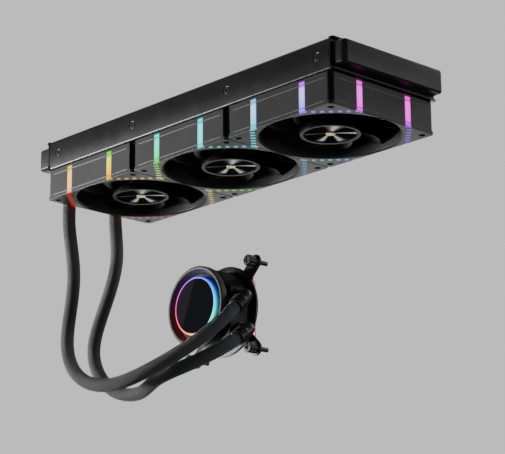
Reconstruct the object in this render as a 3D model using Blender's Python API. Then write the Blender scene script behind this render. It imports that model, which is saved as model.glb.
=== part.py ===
"""Closed-loop liquid cooler for a computer: a 360 mm radiator with three 120 mm
fans under it, two sleeved coolant hoses and a round pump head with a lit display.

Lengths are in millimetres here and become metres in the meshes. The frame:
+X runs along the radiator away from the hose ports, -Y is the side the pump's
display faces, +Z is up. The origin is the centre of the radiator's upper
mounting plane, the face that is screwed to the roof of a case.
Run with: blender --background --python part.py
"""

import math

import bmesh
import bpy
import numpy as np
from mathutils import Matrix, Vector

# ---------------------------------------------------------------- dimensions
MM = 0.001
GAP = 0.3                  # room left between pieces that touch

FAN = 119.6                # fan frame, square
PITCH = 120.0              # from fan to fan
FAN_H = 27.0               # fan thickness
FAN_BORE_R = 57.5          # round opening of the frame
FAN_HOLE = 52.5            # screw holes, from the fan's centre (105 mm pattern)
FAN_HOLE_R = 2.3
FAN_FLANGE = 2.8           # corner flange thickness
FAN_CORNER_R = 4.0
NOTCH = 56.0               # side panels stop here, from the fan's centre
NOTCH_R = 4.9              # hollow round the screw
HUB_R = 25.25
HUB_WALL = 1.85
HUB_FRONT = 1.5            # hub's front rim, above the intake face
HUB_TOP = 21.5
CAP_R = 21.6
BLADES = 9
BLADE_TIP_R = 56.0
STRUTS = 7
SHAFT_R = 1.5
STRIP_AT = 27.8            # light strips, from the middle of a side
STRIP_W = 6.5
STRIP_D = 1.5
BAR_W = 5.4                # light bar across each corner of the intake face
BAR_D = 1.8
RAIL_W = 1.1               # light rail that joins the strips along the outlet edge
RAIL_H = 2.0

RAD_T = 27.0               # radiator thickness
RAD_HALF_W = 60.0
RAD_HALF_L = 178.0         # side plates end here
SHEET = 1.1                # side plate sheet
FLANGE_Y = 46.0            # side plate flanges reach in to here
HEAD_X = 180.0             # outer face of the header plates
LIP_X = 183.0              # lips round the tanks
LIP_T = 1.6
TANK_Z0, TANK_Z1 = -23.4, -3.6
TANK_HALF_W = 57.5
TANK_R = 4.5
TANK_LEFT = -197.0
TANK_RIGHT = 193.0
PORT_X, PORT_Y = -190.0, 27.0
PORT_R = 6.4
PORT_END = -30.0
FAN_Z = -RAD_T - 0.8 - FAN_H   # intake face of the fans

HOSE_R = 6.0
FERRULE_R = 7.4
HOSE_TOP = -44.8           # where both hoses leave their ferrules

PUMP_X, PUMP_Y, PUMP_Z = -77.8, 75.0, -156.8   # centre of the cold plate's contact face
PUMP_R = 36.0
PUMP_DEPTH = 48.0          # contact face to the front of the bezel
BODY_R = 34.8
GROOVE_R, RIM_R, GROOVE_Z = 30.4, 33.2, 43.2   # lit groove, the bezel's flat rim, height of the groove's edge
WALL_R, GLASS_R = 25.9, 24.65                 # lit wall round the glass, the glass
MANIFOLD_X = 35.5          # flat port face on the pump's side, from its axis
EAR = 39.0                 # bracket holes, from the pump's axis (78 mm square)

KNEE_UP = Vector((-32.3, 47.0, -151.8))
KNEE_LOW = Vector((-32.3, 50.0, -181.3))
TILT_UP = math.radians(43.2)    # how far the upper outlet points below straight forward
TILT_LOW = math.radians(35.2)
ELBOW_ARM = 7.5
ELBOW_R = 6.2
FERRULE_END = 18.5

# points each hose's route passes through, in order, between its two ends
VIA_NEAR = [(-187.2, -29.1, -68.3), (-184.7, -24.5, -117.1), (-185.7, -29.6, -182.7),
            (-155.2, -37.4, -218.2), (-112.9, -35.6, -229.5), (-74.0, -20.8, -217.6),
            (-44.9, 3.6, -194.7)]
VIA_FAR = [(-181.0, 22.0, -97.1), (-188.6, 11.0, -151.2), (-189.2, 3.6, -187.6),
           (-164.5, 5.0, -221.6), (-126.5, 5.0, -230.4), (-90.8, -5.0, -224.6),
           (-51.0, 5.0, -213.2)]
HOSE_POINTS = 31
LEAD = 5.0                 # a hose leaves its ferrule straight for this far

# ---------------------------------------------------------------- helpers
for ob in list(bpy.data.objects):
    bpy.data.objects.remove(ob, do_unlink=True)


def material(name, colour, metallic=0.0, roughness=0.5, glow=None):
    m = bpy.data.materials.new(name)
    m.use_nodes = True
    b = m.node_tree.nodes["Principled BSDF"]
    b.inputs["Base Color"].default_value = (*colour, 1)
    b.inputs["Metallic"].default_value = metallic
    b.inputs["Roughness"].default_value = roughness
    if glow:
        b.inputs["Emission Color"].default_value = (*glow, 1)
        b.inputs["Emission Strength"].default_value = 2.0
    m.diffuse_color = (*colour, 1)
    return m


BLACK_PAINT = material("black_paint", (0.035, 0.036, 0.038), 0.3, 0.45)
DARK_PLASTIC = material("dark_plastic", (0.045, 0.045, 0.048), 0.0, 0.5)
BLADE_PLASTIC = material("blade_plastic", (0.02, 0.02, 0.022), 0.0, 0.35)
HUB_METAL = material("hub_metal", (0.25, 0.25, 0.26), 1.0, 0.35)
STEEL = material("steel", (0.55, 0.55, 0.56), 1.0, 0.3)
BLACK_STEEL = material("black_steel", (0.05, 0.05, 0.05), 0.8, 0.4)
COPPER = material("copper", (0.72, 0.38, 0.22), 1.0, 0.3)
ALUMINIUM = material("aluminium", (0.6, 0.6, 0.61), 1.0, 0.4)
SLEEVE = material("sleeve", (0.03, 0.03, 0.032), 0.0, 0.7)
RUBBER = material("rubber", (0.02, 0.02, 0.02), 0.0, 0.8)
GLASS = material("black_glass", (0.01, 0.01, 0.012), 0.0, 0.06)
LIGHT = {1: material("light_warm", (1, 0.8, 0.3), 0, 0.4, (1, 0.75, 0.25)),
         2: material("light_cyan", (0.3, 1, 0.9), 0, 0.4, (0.2, 0.95, 0.9)),
         3: material("light_violet", (0.9, 0.5, 1), 0, 0.4, (0.85, 0.4, 1.0))}
RING_LIGHT = material("ring_light", (0.5, 0.7, 1), 0, 0.4, (0.4, 0.6, 1.0))


def to_mesh(bm, name):
    bmesh.ops.remove_doubles(bm, verts=bm.verts, dist=1e-4)
    bmesh.ops.recalc_face_normals(bm, faces=bm.faces)
    bmesh.ops.scale(bm, vec=(MM, MM, MM), verts=bm.verts)
    me = bpy.data.meshes.new(name)
    bm.to_mesh(me)
    bm.free()
    return me


def place(name, mesh, mat, location=(0, 0, 0), rotation=(0, 0, 0), angle=35):
    mesh.materials.clear()
    mesh.materials.append(mat)
    mesh.polygons.foreach_set("material_index", [0] * len(mesh.polygons))
    mesh.shade_smooth()
    mesh.set_sharp_from_angle(angle=math.radians(angle))
    ob = bpy.data.objects.new(name, mesh)
    ob.location = [v * MM for v in location]
    ob.rotation_euler = rotation
    bpy.context.scene.collection.objects.link(ob)
    return ob


def prism(outline, z0, z1):
    """A flat outline in XY pulled from z0 up to z1."""
    bm = bmesh.new()
    low = [bm.verts.new((x, y, z0)) for x, y in outline]
    high = [bm.verts.new((x, y, z1)) for x, y in outline]
    bm.faces.new(low[::-1])
    bm.faces.new(high)
    n = len(outline)
    for i in range(n):
        bm.faces.new((low[i], low[(i + 1) % n], high[(i + 1) % n], high[i]))
    return bm


def lathe(profile, n):
    """A closed profile of (radius, height) turned about Z."""
    bm = bmesh.new()
    rings = []
    for r, z in profile:
        if r < 1e-6:
            rings.append([bm.verts.new((0, 0, z))])
        else:
            rings.append([bm.verts.new((r * math.cos(2 * math.pi * k / n),
                                        r * math.sin(2 * math.pi * k / n), z)) for k in range(n)])
    for a, b in zip(rings, rings[1:] + rings[:1]):
        for k in range(n):
            j = (k + 1) % n
            if len(a) == 1 and len(b) == 1:
                break
            if len(a) == 1:
                bm.faces.new((a[0], b[j], b[k]))
            elif len(b) == 1:
                bm.faces.new((a[k], a[j], b[0]))
            else:
                bm.faces.new((a[k], a[j], b[j], b[k]))
    return bm


def box(x0, x1, y0, y1, z0, z1):
    return prism([(x0, y0), (x1, y0), (x1, y1), (x0, y1)], z0, z1)


def rounded(x0, x1, y0, y1, r, steps=4):
    """A rectangle's outline with round corners."""
    pts = []
    for cx, cy, a in ((x1 - r, y0 + r, -90), (x1 - r, y1 - r, 0), (x0 + r, y1 - r, 90), (x0 + r, y0 + r, 180)):
        for k in range(steps + 1):
            t = math.radians(a + 90 * k / steps)
            pts.append((cx + r * math.cos(t), cy + r * math.sin(t)))
    return pts


def turned(bm, matrix):
    bmesh.ops.transform(bm, matrix=matrix, verts=bm.verts)
    return bm


def merged(*parts):
    """Separate bodies that don't touch, as one cutter."""
    out = bmesh.new()
    for p in parts:
        tmp = bpy.data.meshes.new("tmp")
        p.to_mesh(tmp)
        p.free()
        out.from_mesh(tmp)
        bpy.data.meshes.remove(tmp)
    return out


def combine(base, tool, operation):
    """base with tool joined to it or cut from it, as a bmesh in millimetres."""
    objs = []
    for k, bm in enumerate((base, tool)):
        bmesh.ops.recalc_face_normals(bm, faces=bm.faces)
        me = bpy.data.meshes.new("combine")
        bm.to_mesh(me)
        bm.free()
        ob = bpy.data.objects.new("combine", me)
        bpy.context.scene.collection.objects.link(ob)
        objs.append(ob)
    m = objs[0].modifiers.new("combine", "BOOLEAN")
    m.operation = operation
    m.solver = "EXACT"
    m.object = objs[1]
    bpy.context.view_layer.update()
    me = bpy.data.meshes.new_from_object(objs[0].evaluated_get(bpy.context.evaluated_depsgraph_get()))
    out = bmesh.new()
    out.from_mesh(me)
    bmesh.ops.dissolve_limit(out, angle_limit=0.002, verts=out.verts, edges=out.edges)
    for ob in objs:
        old = ob.data
        bpy.data.objects.remove(ob, do_unlink=True)
        bpy.data.meshes.remove(old)
    bpy.data.meshes.remove(me)
    return out


def soften(bm, width, angle=60, segments=1):
    """Bevels the edges that are sharper than angle."""
    bmesh.ops.recalc_face_normals(bm, faces=bm.faces)
    edges = [e for e in bm.edges if len(e.link_faces) == 2 and e.calc_face_angle(0) > math.radians(angle)]
    bmesh.ops.bevel(bm, geom=edges, offset=width, segments=segments, profile=0.5, affect="EDGES",
                    clamp_overlap=True)
    return bm


def along(direction, origin):
    """The matrix that puts +Z along direction, from origin."""
    return Matrix.Translation(origin) @ Vector((0, 0, 1)).rotation_difference(Vector(direction)).to_matrix().to_4x4()


# ---------------------------------------------------------------- fan parts
def corner_cutters():
    """The hollow at each corner between the two flanges, open to the corner."""
    parts = []
    c = 53.2
    a0 = math.asin((NOTCH - c) / NOTCH_R)
    for sx, sy in ((1, 1), (-1, 1), (-1, -1), (1, -1)):
        pts = [(61.0, 61.0), (NOTCH, 61.0)]
        sweep = -(2 * math.pi - (math.pi / 2 - 2 * a0))
        n = 7
        start = math.pi / 2 - a0
        arc = [(c + NOTCH_R * math.cos(start - sweep * k / n), c + NOTCH_R * math.sin(start - sweep * k / n))
               for k in range(n + 1)]
        pts += arc + [(61.0, NOTCH)]
        pts = [(sx * x, sy * y) for x, y in pts]
        low = prism(pts, FAN_FLANGE, FAN_H - FAN_FLANGE)
        c0, c1 = sorted((sx * NOTCH, sx * 61.0)), sorted((sy * NOTCH, sy * 61.0))
        parts.append(combine(low, box(*c0, *c1, FAN_H - FAN_FLANGE - 1, FAN_H + 1), "UNION"))
    return merged(*parts)


def strip_boxes(grow, low, high):
    """The eight light strips, or their pockets when grow is over 0."""
    parts = []
    outer = FAN / 2 + (2.0 if grow else 0.0)
    for q in range(4):
        for s in (-1, 1):
            x = s * STRIP_AT
            b = box(x - STRIP_W / 2 - grow, x + STRIP_W / 2 + grow, -outer,
                    -FAN / 2 + STRIP_D + grow, low, high)
            parts.append(turned(b, Matrix.Rotation(q * math.pi / 2, 4, "Z")))
    return parts


def bar_boxes(grow, low, high):
    """The four bars across the corners of the intake face."""
    far = (STRIP_AT + FAN / 2) / math.sqrt(2)          # distance of the bar's line from the centre
    half = (FAN / 2 - STRIP_AT) / math.sqrt(2) - 0.4 + grow
    parts = []
    for q in range(4):
        b = box(far - BAR_W / 2 - grow, far + BAR_W / 2 + grow, -half, half, low, high)
        parts.append(turned(b, Matrix.Rotation(math.radians(45 + 90 * q), 4, "Z")))
    return parts


def rail_boxes(grow, low, high):
    """The rails between the two strips of each side, along the outlet edge."""
    parts = []
    y1 = -FAN / 2 + 1.0 - grow
    for q in range(4):
        b = box(-STRIP_AT, STRIP_AT, y1, y1 + RAIL_W + 2 * grow, low, high)
        parts.append(turned(b, Matrix.Rotation(q * math.pi / 2, 4, "Z")))
    return parts


def fan_frame():
    h = FAN / 2
    bm = prism(rounded(-h, h, -h, h, FAN_CORNER_R, 2), 0, FAN_H)
    bm = combine(bm, lathe([(0, -1), (FAN_BORE_R, -1), (FAN_BORE_R, FAN_H + 1), (0, FAN_H + 1)], 44), "DIFFERENCE")
    bm = combine(bm, corner_cutters(), "DIFFERENCE")
    holes = [turned(lathe([(0, -1), (FAN_HOLE_R, -1), (FAN_HOLE_R, FAN_H + 1), (0, FAN_H + 1)], 10),
                    Matrix.Translation((sx * FAN_HOLE, sy * FAN_HOLE, 0))) for sx in (-1, 1) for sy in (-1, 1)]
    bm = combine(bm, merged(*holes), "DIFFERENCE")
    bm = combine(bm, merged(*strip_boxes(GAP, -1, FAN_H + 1)), "DIFFERENCE")
    bm = combine(bm, merged(*bar_boxes(GAP, -1, BAR_D + GAP)), "DIFFERENCE")
    bm = combine(bm, merged(*rail_boxes(GAP, FAN_H - RAIL_H - GAP, FAN_H + 1)), "DIFFERENCE")
    # motor base and its struts, one flat star on the outlet side
    pts = []
    base, end, w = 24.0, 58.2, 1.6
    for k in range(STRUTS):
        a = 2 * math.pi * (k + 0.35) / STRUTS
        lean = math.radians(11)
        da = math.asin(w / base)
        pts.append((base * math.cos(a - da), base * math.sin(a - da)))
        de = math.asin(w / end)
        pts.append((end * math.cos(a + lean - de), end * math.sin(a + lean - de)))
        pts.append((end * math.cos(a + lean + de), end * math.sin(a + lean + de)))
        pts.append((base * math.cos(a + da), base * math.sin(a + da)))
        gap = 2 * math.pi / STRUTS - 2 * da
        for j in (1, 2):
            t = a + da + gap * j / 3
            pts.append((base * math.cos(t), base * math.sin(t)))
    bm = combine(bm, prism(pts, FAN_H - 5.4, FAN_H - 2.4), "UNION")
    return to_mesh(bm, "fan_frame")


def light_guide():
    parts = [*strip_boxes(0, 0, FAN_H), *bar_boxes(0, 0, BAR_D), *rail_boxes(0, FAN_H - RAIL_H, FAN_H)]
    bm = parts[0]
    for p in parts[1:]:
        bm = combine(bm, p, "UNION")
    h = FAN / 2
    bm = combine(bm, box(-h, h, -h, h, -1, FAN_H + 1), "INTERSECT")
    return to_mesh(bm, "light_guide")


def blade(k):
    """One swept, twisted blade as a closed grid."""
    radii = (24.3, 34.0, 45.0, BLADE_TIP_R)
    chord = (0.0, 0.5, 1.0)
    bm = bmesh.new()
    grid = []
    for r in radii:
        t = (r - radii[0]) / (radii[-1] - radii[0])
        span = math.radians(50 - 12 * t)
        sweep = math.radians(26 * t ** 1.3)
        low, high = 4.6 + 0.6 * t, 19.0 - 2.2 * t
        row = []
        for c in chord:
            a = 2 * math.pi * k / BLADES + sweep + (c - 0.5) * span
            u = low + (high - low) * (c + 0.10 * math.sin(math.pi * c))
            half = 0.85 * (1 - 0.35 * t) * (0.55 if c in (0.0, 1.0) else 1.0)
            row.append([bm.verts.new((r * math.cos(a), r * math.sin(a), u + s * half)) for s in (-1, 1)])
        grid.append(row)
    nr, nc = len(radii), len(chord)
    for i in range(nr - 1):
        for j in range(nc - 1):
            for s in (0, 1):
                q = (grid[i][j][s], grid[i + 1][j][s], grid[i + 1][j + 1][s], grid[i][j + 1][s])
                bm.faces.new(q if s else q[::-1])
    for i in range(nr - 1):
        for j, flip in ((0, False), (nc - 1, True)):
            q = (grid[i][j][0], grid[i + 1][j][0], grid[i + 1][j][1], grid[i][j][1])
            bm.faces.new(q[::-1] if flip else q)
    for j in range(nc - 1):
        for i, flip in ((0, True), (nr - 1, False)):
            q = (grid[i][j][0], grid[i][j + 1][0], grid[i][j + 1][1], grid[i][j][1])
            bm.faces.new(q[::-1] if flip else q)
    bmesh.ops.triangulate(bm, faces=bm.faces)
    return bm


def rotor():
    inner = HUB_R - HUB_WALL
    hub = lathe([(SHAFT_R + GAP, 4.4), (CAP_R + GAP, 4.4), (CAP_R + GAP, HUB_FRONT), (HUB_R - 0.6, HUB_FRONT),
                 (HUB_R, HUB_FRONT + 0.6), (HUB_R, HUB_TOP), (inner, HUB_TOP), (inner, 6.4), (SHAFT_R + GAP, 6.4)], 30)
    return to_mesh(combine(hub, merged(*[blade(k) for k in range(BLADES)]), "UNION"), "rotor")


def hub_cap():
    return to_mesh(lathe([(0, 2.1), (3.6, 2.1), (3.6, 3.1), (CAP_R - 0.8, 2.2),
                          (CAP_R, 2.8), (CAP_R, 4.1), (0, 4.1)], 30), "hub_cap")


def stator():
    top = FAN_H - 5.4 - GAP
    return to_mesh(lathe([(SHAFT_R + 0.4, 9.0), (21.0, 9.0), (21.0, 18.5), (9.0, 18.5), (9.0, top),
                          (SHAFT_R + 0.4, top)], 20), "stator")


def shaft():
    return to_mesh(lathe([(0, 4.6), (SHAFT_R, 4.6), (SHAFT_R, 21.0), (0, 21.0)], 10), "shaft")


def fan_screw():
    """Short screw that holds the outlet flange to the radiator, its head inside the corner hollow."""
    head = FAN_H - FAN_FLANGE - GAP
    return to_mesh(lathe([(0, head - 1.9), (2.9, head - 1.9), (2.9, head), (SHAFT_R, head),
                          (SHAFT_R, 30.9), (0, 30.9)], 8), "fan_screw")


frame_mesh, guide_mesh, rotor_mesh = fan_frame(), light_guide(), rotor()
cap_mesh, stator_mesh, shaft_mesh, screw_mesh = hub_cap(), stator(), shaft(), fan_screw()
for i, x in enumerate((-PITCH, 0.0, PITCH), start=1):
    at = (x, 0, FAN_Z)
    place(f"fan_{i}_frame", frame_mesh, DARK_PLASTIC, at)
    place(f"fan_{i}_light_guide", guide_mesh.copy(), LIGHT[i], at)
    place(f"fan_{i}_rotor", rotor_mesh, BLADE_PLASTIC, at)
    place(f"fan_{i}_hub_cap", cap_mesh, HUB_METAL, at)
    place(f"fan_{i}_stator", stator_mesh, COPPER, at)
    place(f"fan_{i}_shaft", shaft_mesh, STEEL, at)
    for letter, sx, sy in (("a", -1, -1), ("b", 1, -1), ("c", 1, 1), ("d", -1, 1)):
        place(f"fan_{i}_screw_{letter}", screw_mesh, BLACK_STEEL, (x + sx * FAN_HOLE, sy * FAN_HOLE, FAN_Z))


# ---------------------------------------------------------------- radiator
def side_plate():
    """The near side's channel: a web with a flange at the top and bottom, and screw holes in both."""
    w, f, s, r = RAD_HALF_W, FLANGE_Y, SHEET, 1.0
    k = 0.3 * r
    outline = [(-f, 0), (-w + r, 0), (-w + k, -k), (-w, -r), (-w, -RAD_T + r), (-w + k, -RAD_T + k), (-w + r, -RAD_T),
               (-f, -RAD_T), (-f, -RAD_T + s), (-w + s, -RAD_T + s), (-w + s, -s), (-f, -s)]
    bm = prism(outline, -RAD_HALF_L, RAD_HALF_L)
    # the outline's axes are Y and Z, and it was pulled along what becomes X
    turned(bm, Matrix(((0, 0, 1, 0), (1, 0, 0, 0), (0, 1, 0, 0), (0, 0, 0, 1))))
    holes = [turned(lathe([(0, -RAD_T - 1), (1.9, -RAD_T - 1), (1.9, 1), (0, 1)], 8),
                    Matrix.Translation((x + s2 * FAN_HOLE, -FAN_HOLE, 0)))
             for x in (-PITCH, 0, PITCH) for s2 in (-1, 1)]
    return to_mesh(combine(bm, merged(*holes), "DIFFERENCE"), "side_plate")


def header_plate():
    """The right end's plate, with a lip above and below the tank."""
    x0, x1, w, r = RAD_HALF_L + GAP, LIP_X, RAD_HALF_W, 2.6
    pts = [(x0, -w), (x1 - r, -w)]
    pts += [(x1 - r + r * math.sin(math.radians(a)), -w + r - r * math.cos(math.radians(a))) for a in (30, 60, 90)]
    pts += [(x, -y) for x, y in pts[::-1]]
    bm = prism(pts, -RAD_T, 0)
    return to_mesh(combine(bm, box(HEAD_X, x1 + 1, -w - 1, w + 1, -RAD_T + LIP_T, -LIP_T), "DIFFERENCE"), "header")


def tank(end, ports):
    """A tank open towards the core, with its outer corners rounded."""
    s = 1 if end > 0 else -1
    x0 = HEAD_X + GAP
    x1 = abs(end)
    w, r = TANK_HALF_W, TANK_R
    pts = [(x0, -w)]
    pts += [(x1 - r + r * math.sin(math.radians(a)), -w + r - r * math.cos(math.radians(a))) for a in range(0, 91, 30)]
    pts += [(x, -y) for x, y in pts[::-1]]
    bm = prism(pts, TANK_Z0, TANK_Z1)
    bmesh.ops.recalc_face_normals(bm, faces=bm.faces)
    rim = [e for e in bm.edges if len(e.link_faces) == 2 and e.calc_face_angle(0) > math.radians(60)
           and all(v.co.x > x0 + 0.01 for v in e.verts) or all(abs(v.co.y) > w - 0.01 for v in e.verts)
           and abs(e.verts[0].co.z - e.verts[1].co.z) < 0.01]
    bmesh.ops.bevel(bm, geom=rim, offset=1.5, segments=1, profile=0.5, affect="EDGES")
    if s < 0:
        turned(bm, Matrix.Scale(-1, 4, Vector((1, 0, 0))))
    bm = combine(bm, box(*sorted((s * (x0 - 1), s * (x1 - 2.2))), -w + 2.5, w - 2.5, TANK_Z0 + 2, TANK_Z1 - 2),
                 "DIFFERENCE")
    if ports:
        for y in (-PORT_Y, PORT_Y):
            boss = lathe([(0, PORT_END), (PORT_R, PORT_END),
                          (PORT_R, TANK_Z0 + 0.6), (0, TANK_Z0 + 0.6)], 14)
            bm = combine(bm, turned(boss, Matrix.Translation((PORT_X, y, 0))), "UNION")
        bores = [turned(lathe([(0, PORT_END - 1), (4.0, PORT_END - 1), (4.0, TANK_Z0 + 3), (0, TANK_Z0 + 3)], 10),
                        Matrix.Translation((PORT_X, y, 0))) for y in (-PORT_Y, PORT_Y)]
        bm = combine(bm, merged(*bores), "DIFFERENCE")
        bm = combine(bm, turned(lathe([(0, -4), (4.3, -4), (4.3, 4), (0, 4)], 10),
                                along((-1, 0, 0), (TANK_LEFT + 1, 0, (TANK_Z0 + TANK_Z1) / 2))), "DIFFERENCE")
    return to_mesh(bm, "tank")


near_plate = side_plate()
place("side_plate_near", near_plate, BLACK_PAINT)
place("side_plate_far", near_plate, BLACK_PAINT, rotation=(0, 0, math.pi))
head = header_plate()
place("header_plate_right", head, BLACK_PAINT)
place("header_plate_left", head, BLACK_PAINT, rotation=(0, 0, math.pi))
place("tank_right", tank(TANK_RIGHT, False), BLACK_PAINT)
place("tank_left", tank(TANK_LEFT, True), BLACK_PAINT)
core = FLANGE_Y - GAP
place("fin_core", to_mesh(box(-RAD_HALF_L, RAD_HALF_L, -core, core, -RAD_T + 1.4, -1.4), "core"), ALUMINIUM)
plug = lathe([(0, -6.0), (3.9, -6.0), (3.9, GAP), (6.2, GAP), (6.2, 1.9), (5.6, 2.5), (2.6, 2.5), (2.6, 0.9), (0, 0.9)], 12)
place("fill_plug", to_mesh(turned(plug, along((-1, 0, 0), (0, 0, 0))), "plug"), BLACK_STEEL,
      (TANK_LEFT, 0, (TANK_Z0 + TANK_Z1) / 2))

# ---------------------------------------------------------------- hoses and fittings
for side, y in (("near", -PORT_Y), ("far", PORT_Y)):
    a, b = HOSE_TOP + GAP, PORT_END - GAP
    ring = lathe([(0, a), (FERRULE_R - 0.9, a), (FERRULE_R, a + 0.9), (FERRULE_R, b - 0.9), (FERRULE_R - 0.9, b), (0, b)], 14)
    place(f"port_ferrule_{side}", to_mesh(ring, "ferrule"), BLACK_STEEL, (PORT_X, y, 0))


def outlet(tilt):
    """Which way an elbow's outlet points: forward and down."""
    return Vector((0, -math.cos(tilt), -math.sin(tilt)))


for name, knee, tilt in (("upper", KNEE_UP, TILT_UP), ("lower", KNEE_LOW, TILT_LOW)):
    d = outlet(tilt)
    face = PUMP_X + MANIFOLD_X + GAP
    stub = lathe([(0, face), (ELBOW_R + 1.1, face), (ELBOW_R + 1.1, face + 2.6), (ELBOW_R, face + 3.2),
                  (ELBOW_R, knee.x), (0, knee.x)], 14)
    turned(stub, Matrix.Translation((0, knee.y, knee.z)) @ Vector((0, 0, 1)).rotation_difference(
        Vector((1, 0, 0))).to_matrix().to_4x4())
    ball = bmesh.new()
    bmesh.ops.create_uvsphere(ball, u_segments=14, v_segments=8, radius=ELBOW_R + 0.5)
    turned(ball, Matrix.Translation(knee) @ Matrix.Rotation(0.31, 4, "Y"))
    arm = turned(lathe([(0, 0), (ELBOW_R, 0), (ELBOW_R, ELBOW_ARM), (0, ELBOW_ARM)], 14), along(d, knee))
    bm = combine(combine(stub, ball, "UNION"), arm, "UNION")
    place(f"elbow_{name}", to_mesh(bm, "elbow"), BLACK_STEEL)
    a, b = ELBOW_ARM + GAP, FERRULE_END - GAP
    ring = lathe([(0, a), (FERRULE_R - 0.9, a), (FERRULE_R, a + 0.9), (FERRULE_R, b - 0.9), (FERRULE_R - 0.9, b), (0, b)], 14)
    place(f"pump_ferrule_{name}", to_mesh(turned(ring, along(d, knee)), "ferrule"), BLACK_STEEL)


def smooth_route(points, start_dir, end_dir, count):
    """Evenly spaced points on the cubic spline through points, with the given end directions."""
    p = np.array(points, float)
    h = np.linalg.norm(np.diff(p, axis=0), axis=1)
    s = np.concatenate([[0], np.cumsum(h)])
    n = len(p)
    a, b = np.zeros((n, n)), np.zeros((n, 3))
    a[0, 0] = a[-1, -1] = 1
    b[0], b[-1] = start_dir, end_dir
    for i in range(1, n - 1):
        a[i, i - 1 : i + 2] = h[i], 2 * (h[i - 1] + h[i]), h[i - 1]
        b[i] = 3 * (h[i] * (p[i] - p[i - 1]) / h[i - 1] + h[i - 1] * (p[i + 1] - p[i]) / h[i])
    m = np.linalg.solve(a, b)

    def at(q):
        i = np.clip(np.searchsorted(s, q) - 1, 0, n - 2)
        w = (s[i + 1] - s[i])[:, None]
        u = (q - s[i])[:, None] / w
        return ((2 * u**3 - 3 * u**2 + 1) * p[i] + (u**3 - 2 * u**2 + u) * w * m[i]
                + (3 * u**2 - 2 * u**3) * p[i + 1] + (u**3 - u**2) * w * m[i + 1])

    fine = at(np.linspace(0, s[-1], 2001))
    run = np.concatenate([[0], np.cumsum(np.linalg.norm(np.diff(fine, axis=0), axis=1))])
    even = np.linspace(0, run[-1], count)
    return np.stack([np.interp(even, run, fine[:, k]) for k in range(3)], 1)


for side, y, via, knee, tilt in (("near", -PORT_Y, VIA_NEAR, KNEE_UP, TILT_UP), ("far", PORT_Y, VIA_FAR, KNEE_LOW, TILT_LOW)):
    d = outlet(tilt)
    first, last = (PORT_X, y, HOSE_TOP), tuple(knee + d * FERRULE_END)
    route = smooth_route([(PORT_X, y, HOSE_TOP - LEAD), *via, tuple(knee + d * (FERRULE_END + LEAD))],
                         (0, 0, -1), tuple(-d), HOSE_POINTS - 2)
    route = np.vstack([first, route, last])
    cu = bpy.data.curves.new(f"hose_{side}", "CURVE")
    cu.dimensions = "3D"
    cu.bevel_depth = HOSE_R * MM
    cu.bevel_resolution = 2
    cu.use_fill_caps = True
    sp = cu.splines.new("POLY")
    sp.points.add(len(route) - 1)
    for point, co in zip(sp.points, route * MM):
        point.co = (*co, 1)
    sp.use_smooth = True
    cu.materials.append(SLEEVE)
    ob = bpy.data.objects.new(f"hose_{side}", cu)
    bpy.context.scene.collection.objects.link(ob)

# ---------------------------------------------------------------- pump head
# These are built about Z from the contact face, and then turned so that Z points at -Y.
PUMP_AT = (PUMP_X, PUMP_Y, PUMP_Z)
PUMP_TURN = (math.pi / 2, 0, 0)


def pump_piece(name, bm, mat):
    return place(name, to_mesh(bm, name), mat, PUMP_AT, PUMP_TURN)


plate = combine(prism(rounded(-29, 29, -29, 29, 5, 4), 1.2, 5.0), prism(rounded(-22, 22, -22, 22, 3, 3), 0, 1.4), "UNION")
pump_piece("pump_cold_plate", plate, COPPER)
pump_piece("pump_seal", lathe([(25.9, 5.3), (28.0, 5.3), (28.0, 7.0), (25.9, 7.0)], 24), RUBBER)
body = lathe([(0, 19), (22, 19), (22, 7.3), (28.3, 7.3), (28.3, 5.3), (PUMP_R, 5.3), (PUMP_R, 9.0), (BODY_R, 9.0),
              (BODY_R, 41.7), (21, 41.7), (21, 22), (0, 22)], 32)
block = prism(rounded(23.0, MANIFOLD_X, -33.5, 15.0, 3.0, 2), 17.0, 38.0)
pump_piece("pump_housing", combine(body, block, "UNION"), DARK_PLASTIC)
top = PUMP_DEPTH
pump_piece("pump_bezel", lathe([(GROOVE_R, 42.0), (PUMP_R, 42.0), (PUMP_R, top - 1.4), (PUMP_R - 1.4, top),
                                (RIM_R, top), (GROOVE_R, GROOVE_Z)], 40), BLACK_PAINT)
pump_piece("pump_light_ring", lathe([(22.9, 42.0), (GROOVE_R - GAP, 42.0), (GROOVE_R - GAP, GROOVE_Z - GAP),
                                     (WALL_R, GROOVE_Z - GAP), (WALL_R, top - 0.1), (GLASS_R + GAP, top - 0.1),
                                     (GLASS_R + GAP, 46.8), (22.9, 46.8)], 40), RING_LIGHT)
pump_piece("pump_display_module", lathe([(0, 42.0), (22.6, 42.0), (22.6, 46.8), (0, 46.8)], 24), DARK_PLASTIC)
pump_piece("pump_display_glass", lathe([(0, 47.1), (GLASS_R, 47.1), (GLASS_R, top), (0, top)], 40), GLASS)
pump_piece("pump_stator", lathe([(8, 22.3), (20.4, 22.3), (20.4, 36), (8, 36)], 20), COPPER)

vanes = []
for k in range(6):
    a = 2 * math.pi * k / 6
    for r, da in ((6.0, -0.22), (17.0, 0.22), (17.0, 0.31), (6.0, 0.12)):
        vanes.append((r * math.cos(a + da), r * math.sin(a + da)))
wheel = combine(lathe([(0, 11.5), (17.6, 11.5), (17.6, 13.4), (10.0, 13.4), (10.0, 18.4), (0, 18.4)], 20),
                prism(vanes, 8.0, 11.8), "UNION")
pump_piece("pump_impeller", wheel, DARK_PLASTIC)

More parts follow.
